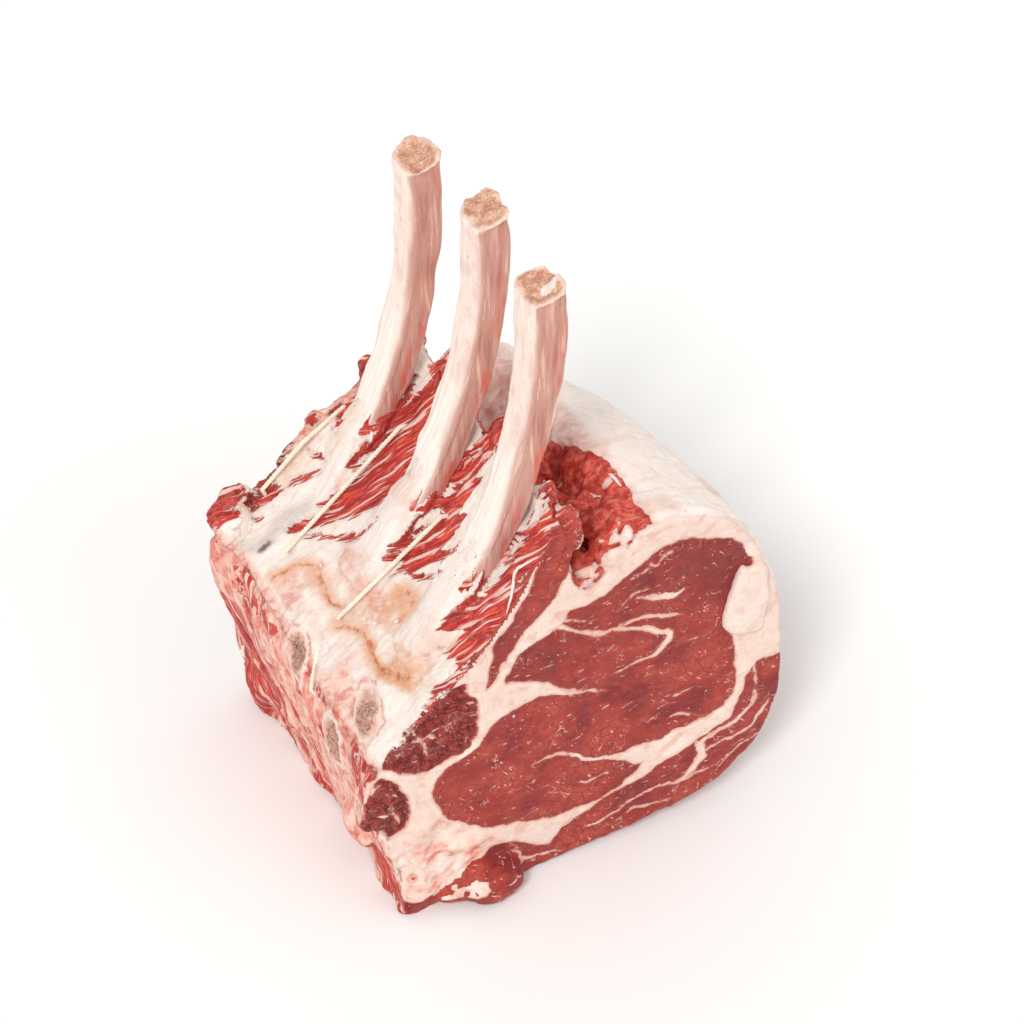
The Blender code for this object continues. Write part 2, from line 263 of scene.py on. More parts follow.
# Red strips on the inner wall between the ribs: (depth along the spine, height along the wall)
RED_STRIPS = [
    # between the rear and middle ribs
    [
        (98, 182), (120, 178), (121, 162), (121, 146), (121, 132), (120, 115), (118, 100), (119, 85),
        (118, 70), (119, 60), (121, 47), (124, 30), (119, 27), (113, 35), (107, 45), (101, 55),
        (96, 65), (92, 75), (89, 88), (94, 97), (95, 112), (94, 126), (92, 150), (93, 168),
    ],
    # between the middle and front ribs
    [
        (60, 175), (72, 160), (72, 145), (71, 132), (69, 118), (68, 105), (66, 90), (67, 75),
        (71, 58), (65, 58), (57, 66), (50, 74), (44, 83), (44, 89), (51, 94), (52, 105),
        (54, 116), (54, 128), (52, 140), (50, 155),
    ],
    # before the front rib
    [
        (-8, 170), (10, 165), (20, 150), (19, 128), (17, 112), (16, 98), (17, 82), (18, 68),
        (14, 57), (8, 54), (5, 40), (3, 25), (-8, 5),
    ],
    # behind the rear rib
    [(139, 90), (148, 88), (158, 100), (158, 128), (140, 132), (141, 108)],
    [(137, 68), (143, 84), (149, 80), (147, 68)],
    [(150, 44), (143, 26), (140, 10), (142, -4), (150, -14), (165, -14), (165, 45)],
]

# Thin red lines on the inner wall: (depth, height along the wall, half width)
RED_LINES = [
    [(84, 66, 0.3), (88, 58, 1.2), (97, 46, 1.3), (107, 37, 1.2), (117, 28, 0.6)],
    [(35, 80, 0.3), (40, 73, 1.0), (48, 66, 1.2), (57, 60, 0.8)],
    [(36, 96, 0.1), (38, 92, 0.5), (38, 88, 0.1)],
    [(130, 54, 0.2), (134, 48, 1.3), (138, 40, 1.5), (139, 36, 0.2)],
    [(133, 58, 0.4), (138, 56, 1.2), (141, 55, 0.3)],
]

# Tinted patches on the inner wall: (depth, height along the wall), half sizes, tint, strength
WALL_PATCHES = [
    ((25, 36), (16, 10), "yellow", 1.0), ((52, 46), (13, 7), "yellow", 0.8),
    ((36, 27), (12, 4), "yellow", 0.7), ((66, 34), (9, 7), "yellow", 0.4),
    ((86, 30), (8, 7), "yellow", 0.4), ((148, 50), (9, 26), "yellow", 0.3),
    ((131, 84), (4, 34), "yellow", 0.3), ((82, 96), (3, 30), "yellow", 0.15),
    ((150, 76), (9, 34), "pink", 0.95), ((146, 112), (10, 16), "pink", 0.8),
    ((62, 40), (14, 7), "pink", 0.45), ((86, 40), (12, 8), "pink", 0.35),
    ((40, 8), (18, 7), "pink", 0.6), ((98, 10), (12, 6), "pink", 0.5),
    ((129, 20), (5, 24), "grey", 0.8), ((153, 100), (4, 34), "stain", 0.35),
    ((125, 12), (1.6, 4.0), "stain", 0.9),
]

# Thin creases on the inner wall, tinted orange round a darker rust core that is partly painted
# shade: (depth, height along the wall, half width)
CREASES = [
    [(24, 36, 0.2), (30, 29, 0.9), (40, 26, 1.0), (52, 27, 0.7), (62, 25, 0.4), (68, 19, 0.1)],
    [(72, 27, 0.1), (80, 24, 0.8), (88, 21, 1.0), (97, 24, 0.1)],
    [(98, 26, 0.0), (104, 16, 0.3), (112, 8, 0.0)],
    [(44, 52, 0.0), (50, 54, 0.4), (58, 50, 0.0)],
]

# Patches of red flesh on the chine side and its foot: centre, radii
RED_PATCHES = [
    ((-19, 114, 84), (8, 5, 12)), ((-17, 104, 98), (8, 12, 3.5)), ((-15, 136, 60), (10, 13, 24)),
    ((-12, 138, 18), (12, 14, 22)), ((-15, 122, 30), (10, 7, 16)), ((-14, 148, 113), (13, 9, 15)),
    ((-9, 86, 38), (9, 8, 9)), ((-8, 74, 50), (9, 7, 3)), ((-11, 49, 96), (6, 8, 2.2)),
    ((-12, 46, 74), (7, 6, 7)), ((-6, 40, 103), (5, 9, 1.6)), ((-8, 12, 96), (6, 6, 3)),
    ((-10, 7, 62), (8, 6, 16)), ((-8, 4, 40), (8, 5, 6)), ((-4, 14, 14), (9, 13, 14)),
    ((0, 46, 14), (9, 9, 13)), ((-8, 66, 84), (10, 3, 9)), ((-13, 96, 62), (9, 12, 5)),
]

# Sawn bones on the chine: centre, half length, half width, lean, turn up, as in the solids
SAWN_BONES = {
    "sawn_bone_1": ((-12.6, 73.8, 99.4), 9.5, 6.0, 41, 32),
    "sawn_bone_2": ((-2.0, 23.8, 108.9), 9.5, 5.5, 58, 53),
    "sawn_bone_3": ((-12.6, 35.5, 84.5), 10.5, 6.0, 20, 2),
}

# Lumps that are grown into the flesh: centre, radii
LUMPS = [
    ((99, 22, 181), (9, 14, 9)), ((98, 8, 178), (8, 9, 8)), ((70, 66, 201), (4, 4, 5)),
    ((73, 16, 203), (4, 5, 4)), ((104, 14, 186), (5, 12, 8)), ((91, 33, 176), (8, 12, 9)),
    ((88, 12, 170), (7, 8, 5)), ((82, 30, 190), (6, 10, 12)), ((78, 20, 206), (7, 6, 8)),
    ((80, 8, 196), (5, 9, 10)), ((74, 55, 206), (6, 8, 9)), ((72, 62, 196), (5, 6, 7)),
    ((72, 104, 200), (6, 8, 10)), ((66, 100, 206), (5, 6, 8)), ((88, 62, 176), (9, 12, 9)),
    ((92, 88, 170), (9, 12, 8)), ((54, 149, 174), (6, 4, 8)), ((30, 150, 154), (7, 3, 5)),
    ((-18, 146, 117), (7, 7, 9)), ((-10, 148, 125), (8, 6, 6)), ((-9, 2, 78), (9, 6, 17)),
    ((44, -4, 10), (12, 9, 9)), ((26, 0, 8), (12, 7, 8)), ((8, 4, 16), (8, 7, 14)),
    ((-4, 34, 30), (6, 12, 10)), ((-9, 132, 24), (7, 9, 12)),
]


def reach_at(direction, depth_share):
    """How far the section reaches in a direction, in degrees, against the front section."""
    reach = np.ones(len(direction))
    for centre, spread, change, ease in REAR_CHANGE:
        reach += depth_share ** ease * change * bump(direction, centre, spread)
    return reach


def section_of(p):
    """(x, height) on the front section of points in the joint's measure."""
    dx, dz = p[:, 0] - EYE[0], p[:, 2] - EYE[1]
    direction = np.degrees(np.arctan2(dz, dx)) % 360.0
    share = np.clip(p[:, 1] / DEPTH, 0, 1)
    reach = reach_at(direction, share)
    low = np.where(dz > 0, reach, np.minimum(reach, 1.0))
    return EYE[0] + dx / reach, EYE[1] + dz / low


def wall_of(p):
    """Height along the inner wall from its foot, in millimetres."""
    turn = np.arctan2(p[:, 2] - WALL_Z, p[:, 0] - WALL_X)
    return WALL_R * (turn - WALL_FOOT)


# ---------------------------------------------------------------- meshes

def read(rows, key):
    """The vectors of a mesh's rows, such as its points or normals, as an array."""
    flat = np.empty(len(rows) * 3)
    rows.foreach_get(key, flat)
    return flat.reshape(-1, 3)


def read_points(mesh):
    return read(mesh.vertices, "co")


def read_normals(mesh):
    return read(mesh.vertex_normals, "vector")


def write_points(mesh, points):
    mesh.vertices.foreach_set("co", points.reshape(-1))
    mesh.update()


def write_field(mesh, name, values):
    field = mesh.attributes.new(name, "FLOAT", "POINT")
    field.data.foreach_set("value", values.astype(np.float32))


def add_object(name, mesh, finish=None):
    made = bpy.data.objects.new(name, mesh)
    bpy.context.scene.collection.objects.link(made)
    if finish is not None:
        mesh.materials.append(finish)
    return made


def mesh_of(name, shape):
    """A bmesh written out as a mesh, and freed."""
    mesh = bpy.data.meshes.new(name)
    shape.to_mesh(mesh)
    shape.free()
    return mesh


def baked(piece):
    """The mesh that an object's modifiers make."""
    return bpy.data.meshes.new_from_object(
        piece.evaluated_get(bpy.context.evaluated_depsgraph_get()))


def work(piece, kind, **settings):
    """Changes a piece's mesh by one modifier, and applies it."""
    step = piece.modifiers.new("step", kind)
    for name, value in settings.items():
        setattr(step, name, value)
    mesh, old = baked(piece), piece.data
    piece.modifiers.clear()
    piece.data = mesh
    bpy.data.meshes.remove(old)


def cut_off(part, height, lean, above):
    """Cuts a bmesh at a height, on a plane that leans along X, and closes it."""
    around = part.verts[:] + part.edges[:] + part.faces[:]
    cut = bmesh.ops.bisect_plane(
        part, geom=around, plane_co=(0, 0, height * MM), plane_no=(lean, 0, 1),
        clear_outer=above, clear_inner=not above)
    edges = [e for e in cut["geom_cut"] if isinstance(e, bmesh.types.BMEdge)]
    bmesh.ops.holes_fill(part, edges=edges)


def grown_copy(into, node, grow, top=None, foot=None):
    """Adds a merged copy of a CAD node to a bmesh, grown a little, cut off at top or foot."""
    part = bmesh.new()
    part.from_mesh(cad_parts[node].data)
    bmesh.ops.remove_doubles(part, verts=part.verts, dist=1e-6)
    part.normal_update()
    for vert in part.verts:
        vert.co += vert.normal * grow * MM
    if top is not None:
        cut_off(part, top, -0.5, above=True)
    if foot is not None:
        cut_off(part, foot, 0.0, above=False)
    mesh = mesh_of("part", part)
    into.from_mesh(mesh)
    bpy.data.meshes.remove(mesh)


def add_ball(into, spot, radii, turn=None, rounds=3):
    ball = Matrix.LocRotScale(place(*spot), turn, Vector(radii) * MM)
    bmesh.ops.create_icosphere(into, subdivisions=rounds, radius=1.0, matrix=ball)


def fused(name, shape, voxel, smoothing):
    """A bmesh's solids fused into one closed skin of small even faces, and smoothed."""
    piece = add_object(name, mesh_of(name, shape))
    work(piece, "REMESH", mode="VOXEL", voxel_size=voxel * MM)
    work(piece, "SMOOTH", factor=0.5, iterations=smoothing)
    return piece


# ---------------------------------------------------------------- the flesh's fields

# Fields that the flesh's points carry for its finish
TINTS = ("yellow", "pink", "grey", "stain")
ZONES = ("fat", "bone", "cut", "inner", "chine", "hollow", "bright", "dark", "ragged", "coarse",
         "crease") + TINTS
WAYS = ("fibre_long", "fibre_cross", "skin_long", "skin_cross")


def ellipsoid_depth(p, centre, radii):
    """About how deep a point lies inside an ellipsoid, in millimetres, negative outside."""
    scaled = (p - np.array(centre)) / np.array(radii)
    away = np.sqrt((scaled ** 2).sum(1))
    return (1 - away) * min(radii)


def bone_oval_depth(p, spec):
    """How deep a point lies inside a sawn bone's oval, where it is near the bone's face."""
    centre, half_long, half_wide, lean, turn = spec
    up, tilt = math.radians(turn), math.radians(lean)
    outward = np.array([-math.cos(up), 0, math.sin(up)])
    upright = np.array([math.sin(up), 0, math.cos(up)])
    level = np.array([0.0, 1.0, 0.0])
    long_way = upright * math.cos(tilt) + level * math.sin(tilt)
    wide_way = level * math.cos(tilt) - upright * math.sin(tilt)
    away = p - np.array(centre)
    a, b, out = away @ long_way, away @ wide_way, away @ outward
    depth = (1 - np.hypot(a / half_long, b / half_wide)) * half_wide
    return np.where(np.abs(out) < 6, depth, -20.0)


def wall_strands(y, along):
    """The inner wall's lookup point slid along its fibres, each strand by its own amount."""
    run_y, run_along = math.cos(WALL_GRAIN), math.sin(WALL_GRAIN)
    across = along * run_y - y * run_along
    down = y * run_y + along * run_along
    lane = np.stack([across, down * 0.06, np.zeros(len(y))], 1)
    slide = 9.0 * smooth_noise(lane, 3.4, 101, 2) + 2.5 * smooth_noise(lane, 11, 103, 1)
    return y + run_y * slide, along + run_along * slide


def flesh_fields(p, normals):
    """What each point of the flesh is: its zones, its depth in fat, and its tints."""
    u, w = section_of(p)
    along = wall_of(p)
    y = p[:, 1]
    n = len(p)
    x, z = p[:, 0], p[:, 2]

    cut = soft(0.50, 0.75, np.abs(normals[:, 1])) * np.maximum(soft(10, 5, y), soft(139, 145, y))
    inner = soft(-0.05, 0.2, -normals[:, 0] * 0.75 + normals[:, 2] * 0.66 - 0.25)
    inner = inner * soft(86, 76, x) * soft(-6, 4, along) * (1 - cut)
    chine = soft(6, -2, along) * soft(22, 6, x) * (1 - cut)
    hollow = soft(60, 70, x) * soft(118, 113, x) * soft(150, 158, z)
    hollow = hollow * (1 - cut) * (1 - inner)

    # the cut faces: islands of muscle, their borders wandering, then the seams inside them
    rough = 1 + 1.5 * (1 - cut)
    wu = u + rough * (1.3 * smooth_noise(p, 11, 111, 2) + 0.6 * smooth_noise(p, 3.6, 113, 2))
    ww = w + rough * (1.3 * smooth_noise(p, 11, 117, 2) + 0.6 * smooth_noise(p, 3.6, 119, 2))
    island = {name: island_depth(wu, ww, corners) for name, corners in MUSCLES.items()}
    strip = island_depth(wu, ww, STRIP)
    muscle = np.maximum.reduce(list(island.values()) + [strip])
    face_fat = np.maximum(-muscle, lines_depth(wu, ww, SEAMS))

    # the inner wall: a white skin with red strips between the ribs
    sy, sv = wall_strands(y, along)
    wall_red = [island_depth(sy, sv, corners) for corners in RED_STRIPS]
    wall_red = np.maximum.reduce(wall_red + [lines_depth(y, along, RED_LINES)])

    # the chine side: pink tissue with red patches and streaks
    grain_long = 0.5 * y + 0.86 * z
    grain_cross = 0.86 * y - 0.5 * z
    flow = np.stack([grain_cross, grain_long * 0.22, x], 1)
    chine_red = 5.0 * smooth_noise(flow, 6.5, 121, 3) - 1.6
    loose = p + 2.5 * smooth_noise(flow, 7, 123, 2)[:, None]
    for centre, radii in RED_PATCHES:
        chine_red = np.maximum(chine_red, ellipsoid_depth(loose, centre, radii))

    # the outside: fat over the cap and tail, flesh under the strip and in the hollow
    foot = 13 + 8 * soft(10, 34, x) + 5 * smooth_noise(p, 9, 9, 2) - z
    side_fat = np.where((strip > 0) | ((foot > 0) & (y < 24)), -4.0, 8.0)
    hollow_edge = 111 - 0.45 * np.maximum(y - 44, 0)
    hollow_red = 4.0 + 2.4 * smooth_noise(p, 12, 5, 2) - 1.5 * np.maximum(x - hollow_edge, 0)
    white_run = np.stack([(x - z) * 0.8, y * 0.8, (z + x) * 0.2], 1)
    hollow_red = np.minimum(hollow_red, 9.0 * (0.66 - smooth_noise(white_run, 6, 7, 2)))

    gap_side = soft(0.35, 0.6, np.abs(normals[:, 1])) * soft(10, 14, y) * soft(142, 138, y)
    gap_side = gap_side * soft(140, 150, z) * soft(106, 98, x)
    fat = np.where(hollow > 0.5, -hollow_red, side_fat)
    fat = fat * (1 - gap_side) - 3.0 * gap_side
    fat = fat * (1 - inner) - wall_red * inner
    fat = np.where((gap_side > 0.5) & (z > 165), np.minimum(fat, -2.0), fat)
    fat = fat * (1 - chine) - chine_red * chine
    fat = fat * (1 - cut) + face_fat * cut

    tints = {name: np.zeros(n) for name in TINTS}
    py = y + 5.0 * smooth_noise(p, 13, 131, 4)
    pv = along + 5.0 * smooth_noise(p, 13, 133, 4)
    for (mid_y, mid_v), (half_y, half_v), name, strength in WALL_PATCHES:
        loose = min(half_y / 6.0, 1.0)          # a small patch wanders less
        off_y = (y + (py - y) * loose - mid_y) / half_y
        away = np.hypot(off_y, (along + (pv - along) * loose - mid_v) / half_v)
        tints[name] = np.maximum(tints[name], strength * soft(1.15, 0.6, away) * inner)
    tints["yellow"] *= 0.62 + 0.38 * soft(-0.45, 0.35, smooth_noise(p, 10, 137, 3))
    fold = soft(0, 4, fat) * soft(48, 30, u) * soft(70, 50, w) * cut
    fold = fold * soft(0.0, 0.6, smooth_noise(p, 9, 139, 3))
    tints["pink"] = np.maximum.reduce([tints["pink"], 0.9 * chine, 0.25 * hollow, fold])
    crease = np.where(inner > 0.5, lines_depth(py, pv, CREASES), OUTSIDE)

    bone = [bone_oval_depth(p, spec) for spec in SAWN_BONES.values()]
    bone = np.maximum(np.maximum.reduce(bone) + 1.2 * smooth_noise(p, 7, 141, 2), -20.0)

    streaky = cut * soft(0, 3, island["between_ribs"])
    bright = np.clip(inner + 0.9 * chine + hollow + streaky + gap_side, 0, 1)
    dark = cut * (
        0.75 * bump(u, 150, 18) * bump(w, 150, 18) + 0.65 * bump(u, 62, 12) * bump(w, 136, 12)
        + 0.35 * bump(u, 120, 22) * bump(w, 168, 10) + 0.25 * bump(u, 30, 12) * bump(w, 75, 12))
    coarse = cut * np.maximum(
        soft(-0.5, 1.5, island["rib_side_wedge"]), soft(-0.5, 1.5, island["chine_lump"]))
    dark = dark + 0.55 * coarse
    pit = bump(x, 97, 7) * bump(y, 24, 12) * soft(165, 172, z) * hollow
    # painted shade: the pit at the foot of the hollow, already sunk in the relief, is darkened as
    # well
    dark = np.clip(dark + 0.3 * pit, 0, 1)

    ragged = 0.5 * cut + 2.0 * inner + 1.6 * chine + 0.9 * hollow
    ragged = np.clip(ragged + 0.8 * (1 - np.clip(cut + inner + chine + hollow, 0, 1)), 0.4, 4.0)
    return {
        "u": u, "w": w, "along": along, "cut": cut, "inner": inner, "chine": chine,
        "hollow": hollow, "fat": fat, "bone": bone, "bright": bright, "dark": dark,
        "ragged": ragged, "coarse": coarse, "pit": pit, "crease": crease,
        "grain_long": grain_long, "grain_cross": grain_cross, **tints,
    }


def turned(a, b, angle):
    """Coordinates along and across a direction at an angle from a to b."""
    along, up = math.cos(angle), math.sin(angle)
    return a * along + b * up, b * along - a * up


def fibre_axes(p, f):
    """Coordinates along and across the fibres, in millimetres."""
    x, y, z = p.T
    wall_long, wall_cross = turned(y, f["along"], WALL_GRAIN)
    wall_cross = wall_cross + 3.0 * smooth_noise(p, 22, 105, 2)
    up_slope = 0.6 * x + 0.8 * z
    by_depth = y + 4.0 * smooth_noise(p, 14, 107, 2)
    on_face, streaky = f["cut"] > 0.5, f["bright"] > 0.5
    ways = [
        (f["inner"] > 0.5, wall_long, wall_cross),
        (f["chine"] > 0.5, f["grain_long"], f["grain_cross"]),
        (on_face & streaky, *turned(f["u"], f["w"], RIB_MEAT_GRAIN)),
        (on_face, *turned(f["u"], f["w"], FACE_GRAIN)),
        (~on_face & (z > 130), up_slope, by_depth),
    ]
    where, long_way, cross_way = zip(*ways)
    return np.select(where, long_way, y), np.select(where, cross_way, up_slope)


def flesh_relief(p, f):
    """How far each point stands proud of the plain shape, in millimetres."""
    y, along, cut, inner = p[:, 1], f["along"], f["cut"], f["inner"]
    chine, hollow = f["chine"], f["hollow"]
    outside = np.clip(1 - cut - inner - chine - hollow, 0, 1)
    wide = smooth_noise(p, 24, 11, 2)
    middle = smooth_noise(p, 9, 21, 3)
    fine = smooth_noise(p, 3.2, 31, 2)
    long_way, cross_way = fibre_axes(p, f)
    strands = np.stack([long_way * 0.14, cross_way, np.zeros(len(p))], 1)
    ridges = smooth_noise(strands, 2.6, 51, 2)

    rim = np.exp(-(f["fat"] / 1.0) ** 2)
    face = 0.9 * wide + 0.45 * middle + 0.34 * fine + 0.25 * soft(-0.4, 0.8, f["fat"]) - 0.35 * rim
    crumbly = smooth_noise(p * np.array([1, 0.4, 1.0]), 5.0, 41, 3)
    face += f["coarse"] * (1.9 * crumbly - 0.8)
    face += 0.8 * ridges * cut * (f["bright"] > 0.5) * soft(0.5, -0.5, f["fat"])
    patch = soft(0, 4, f["fat"]) * soft(48, 30, f["u"]) * soft(70, 55, f["w"])
    face += patch * 2.6 * middle
    folds = np.abs(smooth_noise(p * np.array([1.0, 0.5, 0.6]), 15, 43, 2))
    face -= patch * 1.5 * np.exp(-(folds / 0.14) ** 2)

    red_wall = soft(1.5, -1.5, f["fat"])
    low_wall = soft(62, 40, along)
    wall = 0.8 * wide + middle * (0.4 + 1.3 * low_wall) + 0.2 * fine
    wall += red_wall * (1.3 * ridges - 1.6)
    skin_strands = np.stack([y, along * 0.12, np.zeros(len(p))], 1)
    wall += (1 - red_wall) * 0.40 * smooth_noise(skin_strands, 6.0, 53, 2) * (1 - 0.5 * low_wall)
    for rib_y in RIB_Y.values():
        wall += 1.8 * bump(y, rib_y, 8) * soft(30, 70, along)
        wall -= 1.0 * bump(np.abs(y - rib_y), 14, 3) * soft(30, 60, along)
    wall -= 1.3 * soft(-1.6, 0.4, f["crease"])
    wall -= 0.8 * f["yellow"] * low_wall
    wall += 2.6 * bump(y, 80, 20) * bump(along, 12, 6)
    lip = np.abs(smooth_noise(p * np.array([1.0, 0.8, 1.0]), 13, 57, 3))
    wall -= low_wall * 0.6 * np.exp(-(lip / 0.10) ** 2)

    flow = np.stack([f["grain_cross"], f["grain_long"] * 0.25, p[:, 0]], 1)
    side = 2.0 * smooth_noise(flow, 7, 61, 3) + 0.8 * wide + 0.9 * middle
    oval = f["bone"]
    side += 1.1 * np.exp(-((oval + 0.8) / 0.9) ** 2) - 1.0 * soft(0.2, 1.6, oval)

    pit = 2.2 * smooth_noise(p, 9, 71, 3) + 0.6 * fine + 0.9 * ridges - 3.0 * f["pit"]
    dimples = smooth_noise(p * np.array([1, 0.6, 1.0]), 17, 81, 3)
    cover = 0.9 * dimples + 0.8 * wide + 0.15 * fine
    creases = np.abs(smooth_noise(p * np.array([0.7, 1.6, 0.7]), 12, 91, 2))
    cover -= 0.7 * np.exp(-(creases / 0.06) ** 2)

    near_bone = np.zeros(len(p))
    tongues = p * np.array([0.8, 1.0, 0.22])
    for node, rib_y in RIB_Y.items():
        lean = 0.5 * (p[:, 0] - WALL_EDGE_X)
        below = SCRAPED_FROM[node] + lean - 7.0 + 9.0 * smooth_noise(tongues, 4.0, 95, 2) - p[:, 2]
        near_bone = np.maximum(near_bone, soft(20.0, 0.0, below) * soft(18, 14, np.abs(y - rib_y)))
    sink = -3.6 * near_bone * soft(162, 176, p[:, 2])

    return sink + cut * face + inner * wall + chine * side + hollow * pit + outside * cover


# ---------------------------------------------------------------- finishes

def srgb(code):
    """Linear colour of an sRGB hex code."""
    parts = [int(code[i:i + 2], 16) / 255 for i in (1, 3, 5)]
    linear = [c / 12.92 if c <= 0.04045 else ((c + 0.055) / 1.055) ** 2.4 for c in parts]
    return (*linear, 1.0)


def add(tree, kind, inputs=None, **settings):
    """Adds a node with its settings; an input is a value or another node's output."""
    node = tree.nodes.new(kind)
    for name, value in settings.items():
        setattr(node, name, value)
    for key, value in (inputs or {}).items():
        if isinstance(value, bpy.types.NodeSocket):
            tree.links.new(value, node.inputs[key])
        else:
            node.inputs[key].default_value = value
    return node


def share(tree, got, *terms):
    """The product of terms. A name is looked up, and (name, start, end, high, low) is eased from
    low, or 0, at the start to high, or 1, at the end."""
    whole = None
    for term in terms:
        if isinstance(term, tuple):
            name, start, end, high, low = (*term, *(1.0, 0.0)[len(term) - 3:])
            term = add(tree, "ShaderNodeMapRange", {
                "Value": got[name], "From Min": start, "From Max": end, "To Min": low,
                "To Max": high}, interpolation_type="SMOOTHSTEP").outputs[0]
        term = got.get(term, term)
        whole = term if whole is None else add(
            tree, "ShaderNodeMath", {0: whole, 1: term}, operation="MULTIPLY").outputs[0]
    return whole


def joined(tree, got, how, *rows):
    """Several shares taken together, one after another, by ADD or MAXIMUM."""
    whole = share(tree, got, *rows[0])
    for row in rows[1:]:
        whole = add(tree, "ShaderNodeMath", {0: whole, 1: share(tree, got, *row)},
                    operation=how).outputs[0]
    return whole


def lay(tree, got, base, layers):
    """Lays colours over a base, each through its own share."""
    top = got.get(base) or srgb(base)
    for *terms, colour in layers:
        colour = got.get(colour) or srgb(colour)
        mix = add(tree, "ShaderNodeMix", {0: share(tree, got, *terms), 6: top, 7: colour},
                  data_type="RGBA")
        top = mix.outputs[2]
    return top


def new_finish(name, fields=(), patterns=()):
    """A new material with the values that its paint draws on: the place in millimetres, the
    piece's own fields, and noise patterns of a size in millimetres, each along its own way."""
    finish = bpy.data.materials.new(name)
    finish.use_nodes = True
    tree = finish.node_tree
    tree.nodes.clear()
    spot = add(tree, "ShaderNodeTexCoord").outputs["Object"]
    got = {"spot": add(tree, "ShaderNodeVectorMath", {0: spot, "Scale": 1 / MM},
                       operation="SCALE").outputs[0]}
    for field in fields:
        got[field] = add(tree, "ShaderNodeAttribute", attribute_name=field).outputs["Fac"]
    for pattern, way, size, detail, rough, warp in patterns:
        vector = got["spot"]
        if way:
            axes = {axis: share(tree, got, *terms) for axis, terms in zip("XYZ", way)}
            vector = add(tree, "ShaderNodeCombineXYZ", axes).outputs[0]
        got[pattern] = add(tree, "ShaderNodeTexNoise", {
            "Vector": vector, "Scale": 1 / size, "Detail": detail, "Roughness": rough,
            "Distortion": warp}).outputs[0]
    return finish, tree, got


def seal(tree, height, strength, distance, looks):
    """Ends a finish with its relief, in millimetres, and its shader."""
    looks = dict(looks)
    if height is not None:
        looks["Normal"] = add(tree, "ShaderNodeBump", {
            "Height": height, "Strength": strength, "Distance": distance * MM}).outputs[0]
    shader = add(tree, "ShaderNodeBsdfPrincipled", looks)
    add(tree, "ShaderNodeOutputMaterial", {"Surface": shader.outputs[0]})


# Patterns in the flesh: name, way, size in millimetres, detail, roughness, distortion
FIBRES = (("fibre_long", 0.11), ("fibre_cross",))
BEEF_PATTERNS = (
    ("strands", FIBRES, 1.7, 3.0, 0.60, 0.0),       # bundles of fibres
    ("threads", FIBRES, 0.7, 3.0, 0.65, 0.0),       # single fibres, drawn coarse
    ("streaks", (("fibre_long", 0.06), ("fibre_cross",)), 1.9, 2.0, 0.50, 0.3),
    ("flow", (("fibre_long", 0.30), ("fibre_cross",)), 3.4, 4.0, 0.60, 0.8),
    ("skin_lines", (("skin_long", 0.07), ("skin_cross",)), 2.6, 4.0, 0.60, 0.0),
    ("seam_lines", (("fat", 0.9), ("fibre_long", 0.06), ("fibre_cross", 0.06)),
     1.0, 3.0, 0.60, 0.0),
    ("cloud", None, 22.0, 3.0, 0.55, 0.0),
    ("patchy", None, 7.0, 3.0, 0.55, 0.0),
    ("wander", None, 3.2, 4.0, 0.60, 0.0),
    ("speck", None, 1.8, 4.0, 0.70, 0.0),
    ("dots", None, 1.5, 0.0, 0.50, 0.0),
    ("bent", None, 8.0, 2.0, 0.50, 0.8),
    ("here", None, 10.0, 1.0, 0.55, 0.0),
    ("rough_edge", None, 2.6, 3.0, 0.60, 0.0),
    ("pores", None, 1.3, 4.0, 0.70, 0.0),
)
FLECK_WAYS = ((0.10, 0.20, 1.35), (1.0, 0.24, 1.25))     # turn, stretch, size in millimetres

# Layers of colour: what each one's share is made of, then its colour
MUSCLE_LAYERS = (
    (("cloud", 0.48, 0.60), "#b4473a"),
    (("cloud", 0.47, 0.36), "#822629"),
    (("patchy", 0.52, 0.68, 0.55), "#b54a3e"),
    (("patchy", 0.48, 0.34, 0.45), "#8a2c2c"),
    (("fat", -5.0, -0.8), "cut", ("patchy", 0.40, 0.60, 0.6), "#7d2b2d"),
    (("speck", 0.54, 0.70, 0.45), "#bd5b4f"),
    (("speck", 0.46, 0.32, 0.60), "#7a2522"),
    (("threads", 0.54, 0.72, 0.30), "#c0665a"),
    (("threads", 0.46, 0.30, 0.30), "#7f2a26"),
    # darker muscle tone on the cut faces and coarse muscles, and painted shade in the hollow's pit
    (("dark", 0.0, 1.0), 0.75, "#74272a"),
    ("coarse", ("speck", 0.5, 0.7, 0.7), "#b0484a"),
    ("bright", ("patchy", 0.35, 0.65, 0.95, 0.6), "#cb3a30"),
    ("bright", ("strands", 0.50, 0.60, 0.9), "#e8553f"),
    ("bright", ("strands", 0.47, 0.38, 0.85), "#a32a2c"),
    ("bright", ("streaks", 0.44, 0.36, 0.8), "#942a2f"),
    ("bright", ("threads", 0.55, 0.66, 0.75), "#ee9c8a"),
    ("striped", ("streaks", 0.55, 0.61, 0.95), "#f0cfc2"),
    ("hollow", ("patchy", 0.35, 0.65, 0.7, 0.3), "#dc5443"),
    ("hollow", ("strands", 0.52, 0.64), ("patchy", 0.46, 0.60, 0.6), "#efab98"),
    ("hollow", ("wander", 0.50, 0.62, 0.75), "#ea7b66"),
    ("hollow", ("wander", 0.45, 0.36, 0.75), "#8e2b2b"),
    ("hollow", ("cloud", 0.47, 0.38, 0.6), "#a23531"),
    ("bright", "dark", 0.8, "#5e1c1b"),
    ("gap", 0.8, "#5c1a1c"),
    ("gap", ("patchy", 0.52, 0.60, 0.6), 0.8, "#d79b90"),
    ("crack", 0.6, "#6e211f"),
)
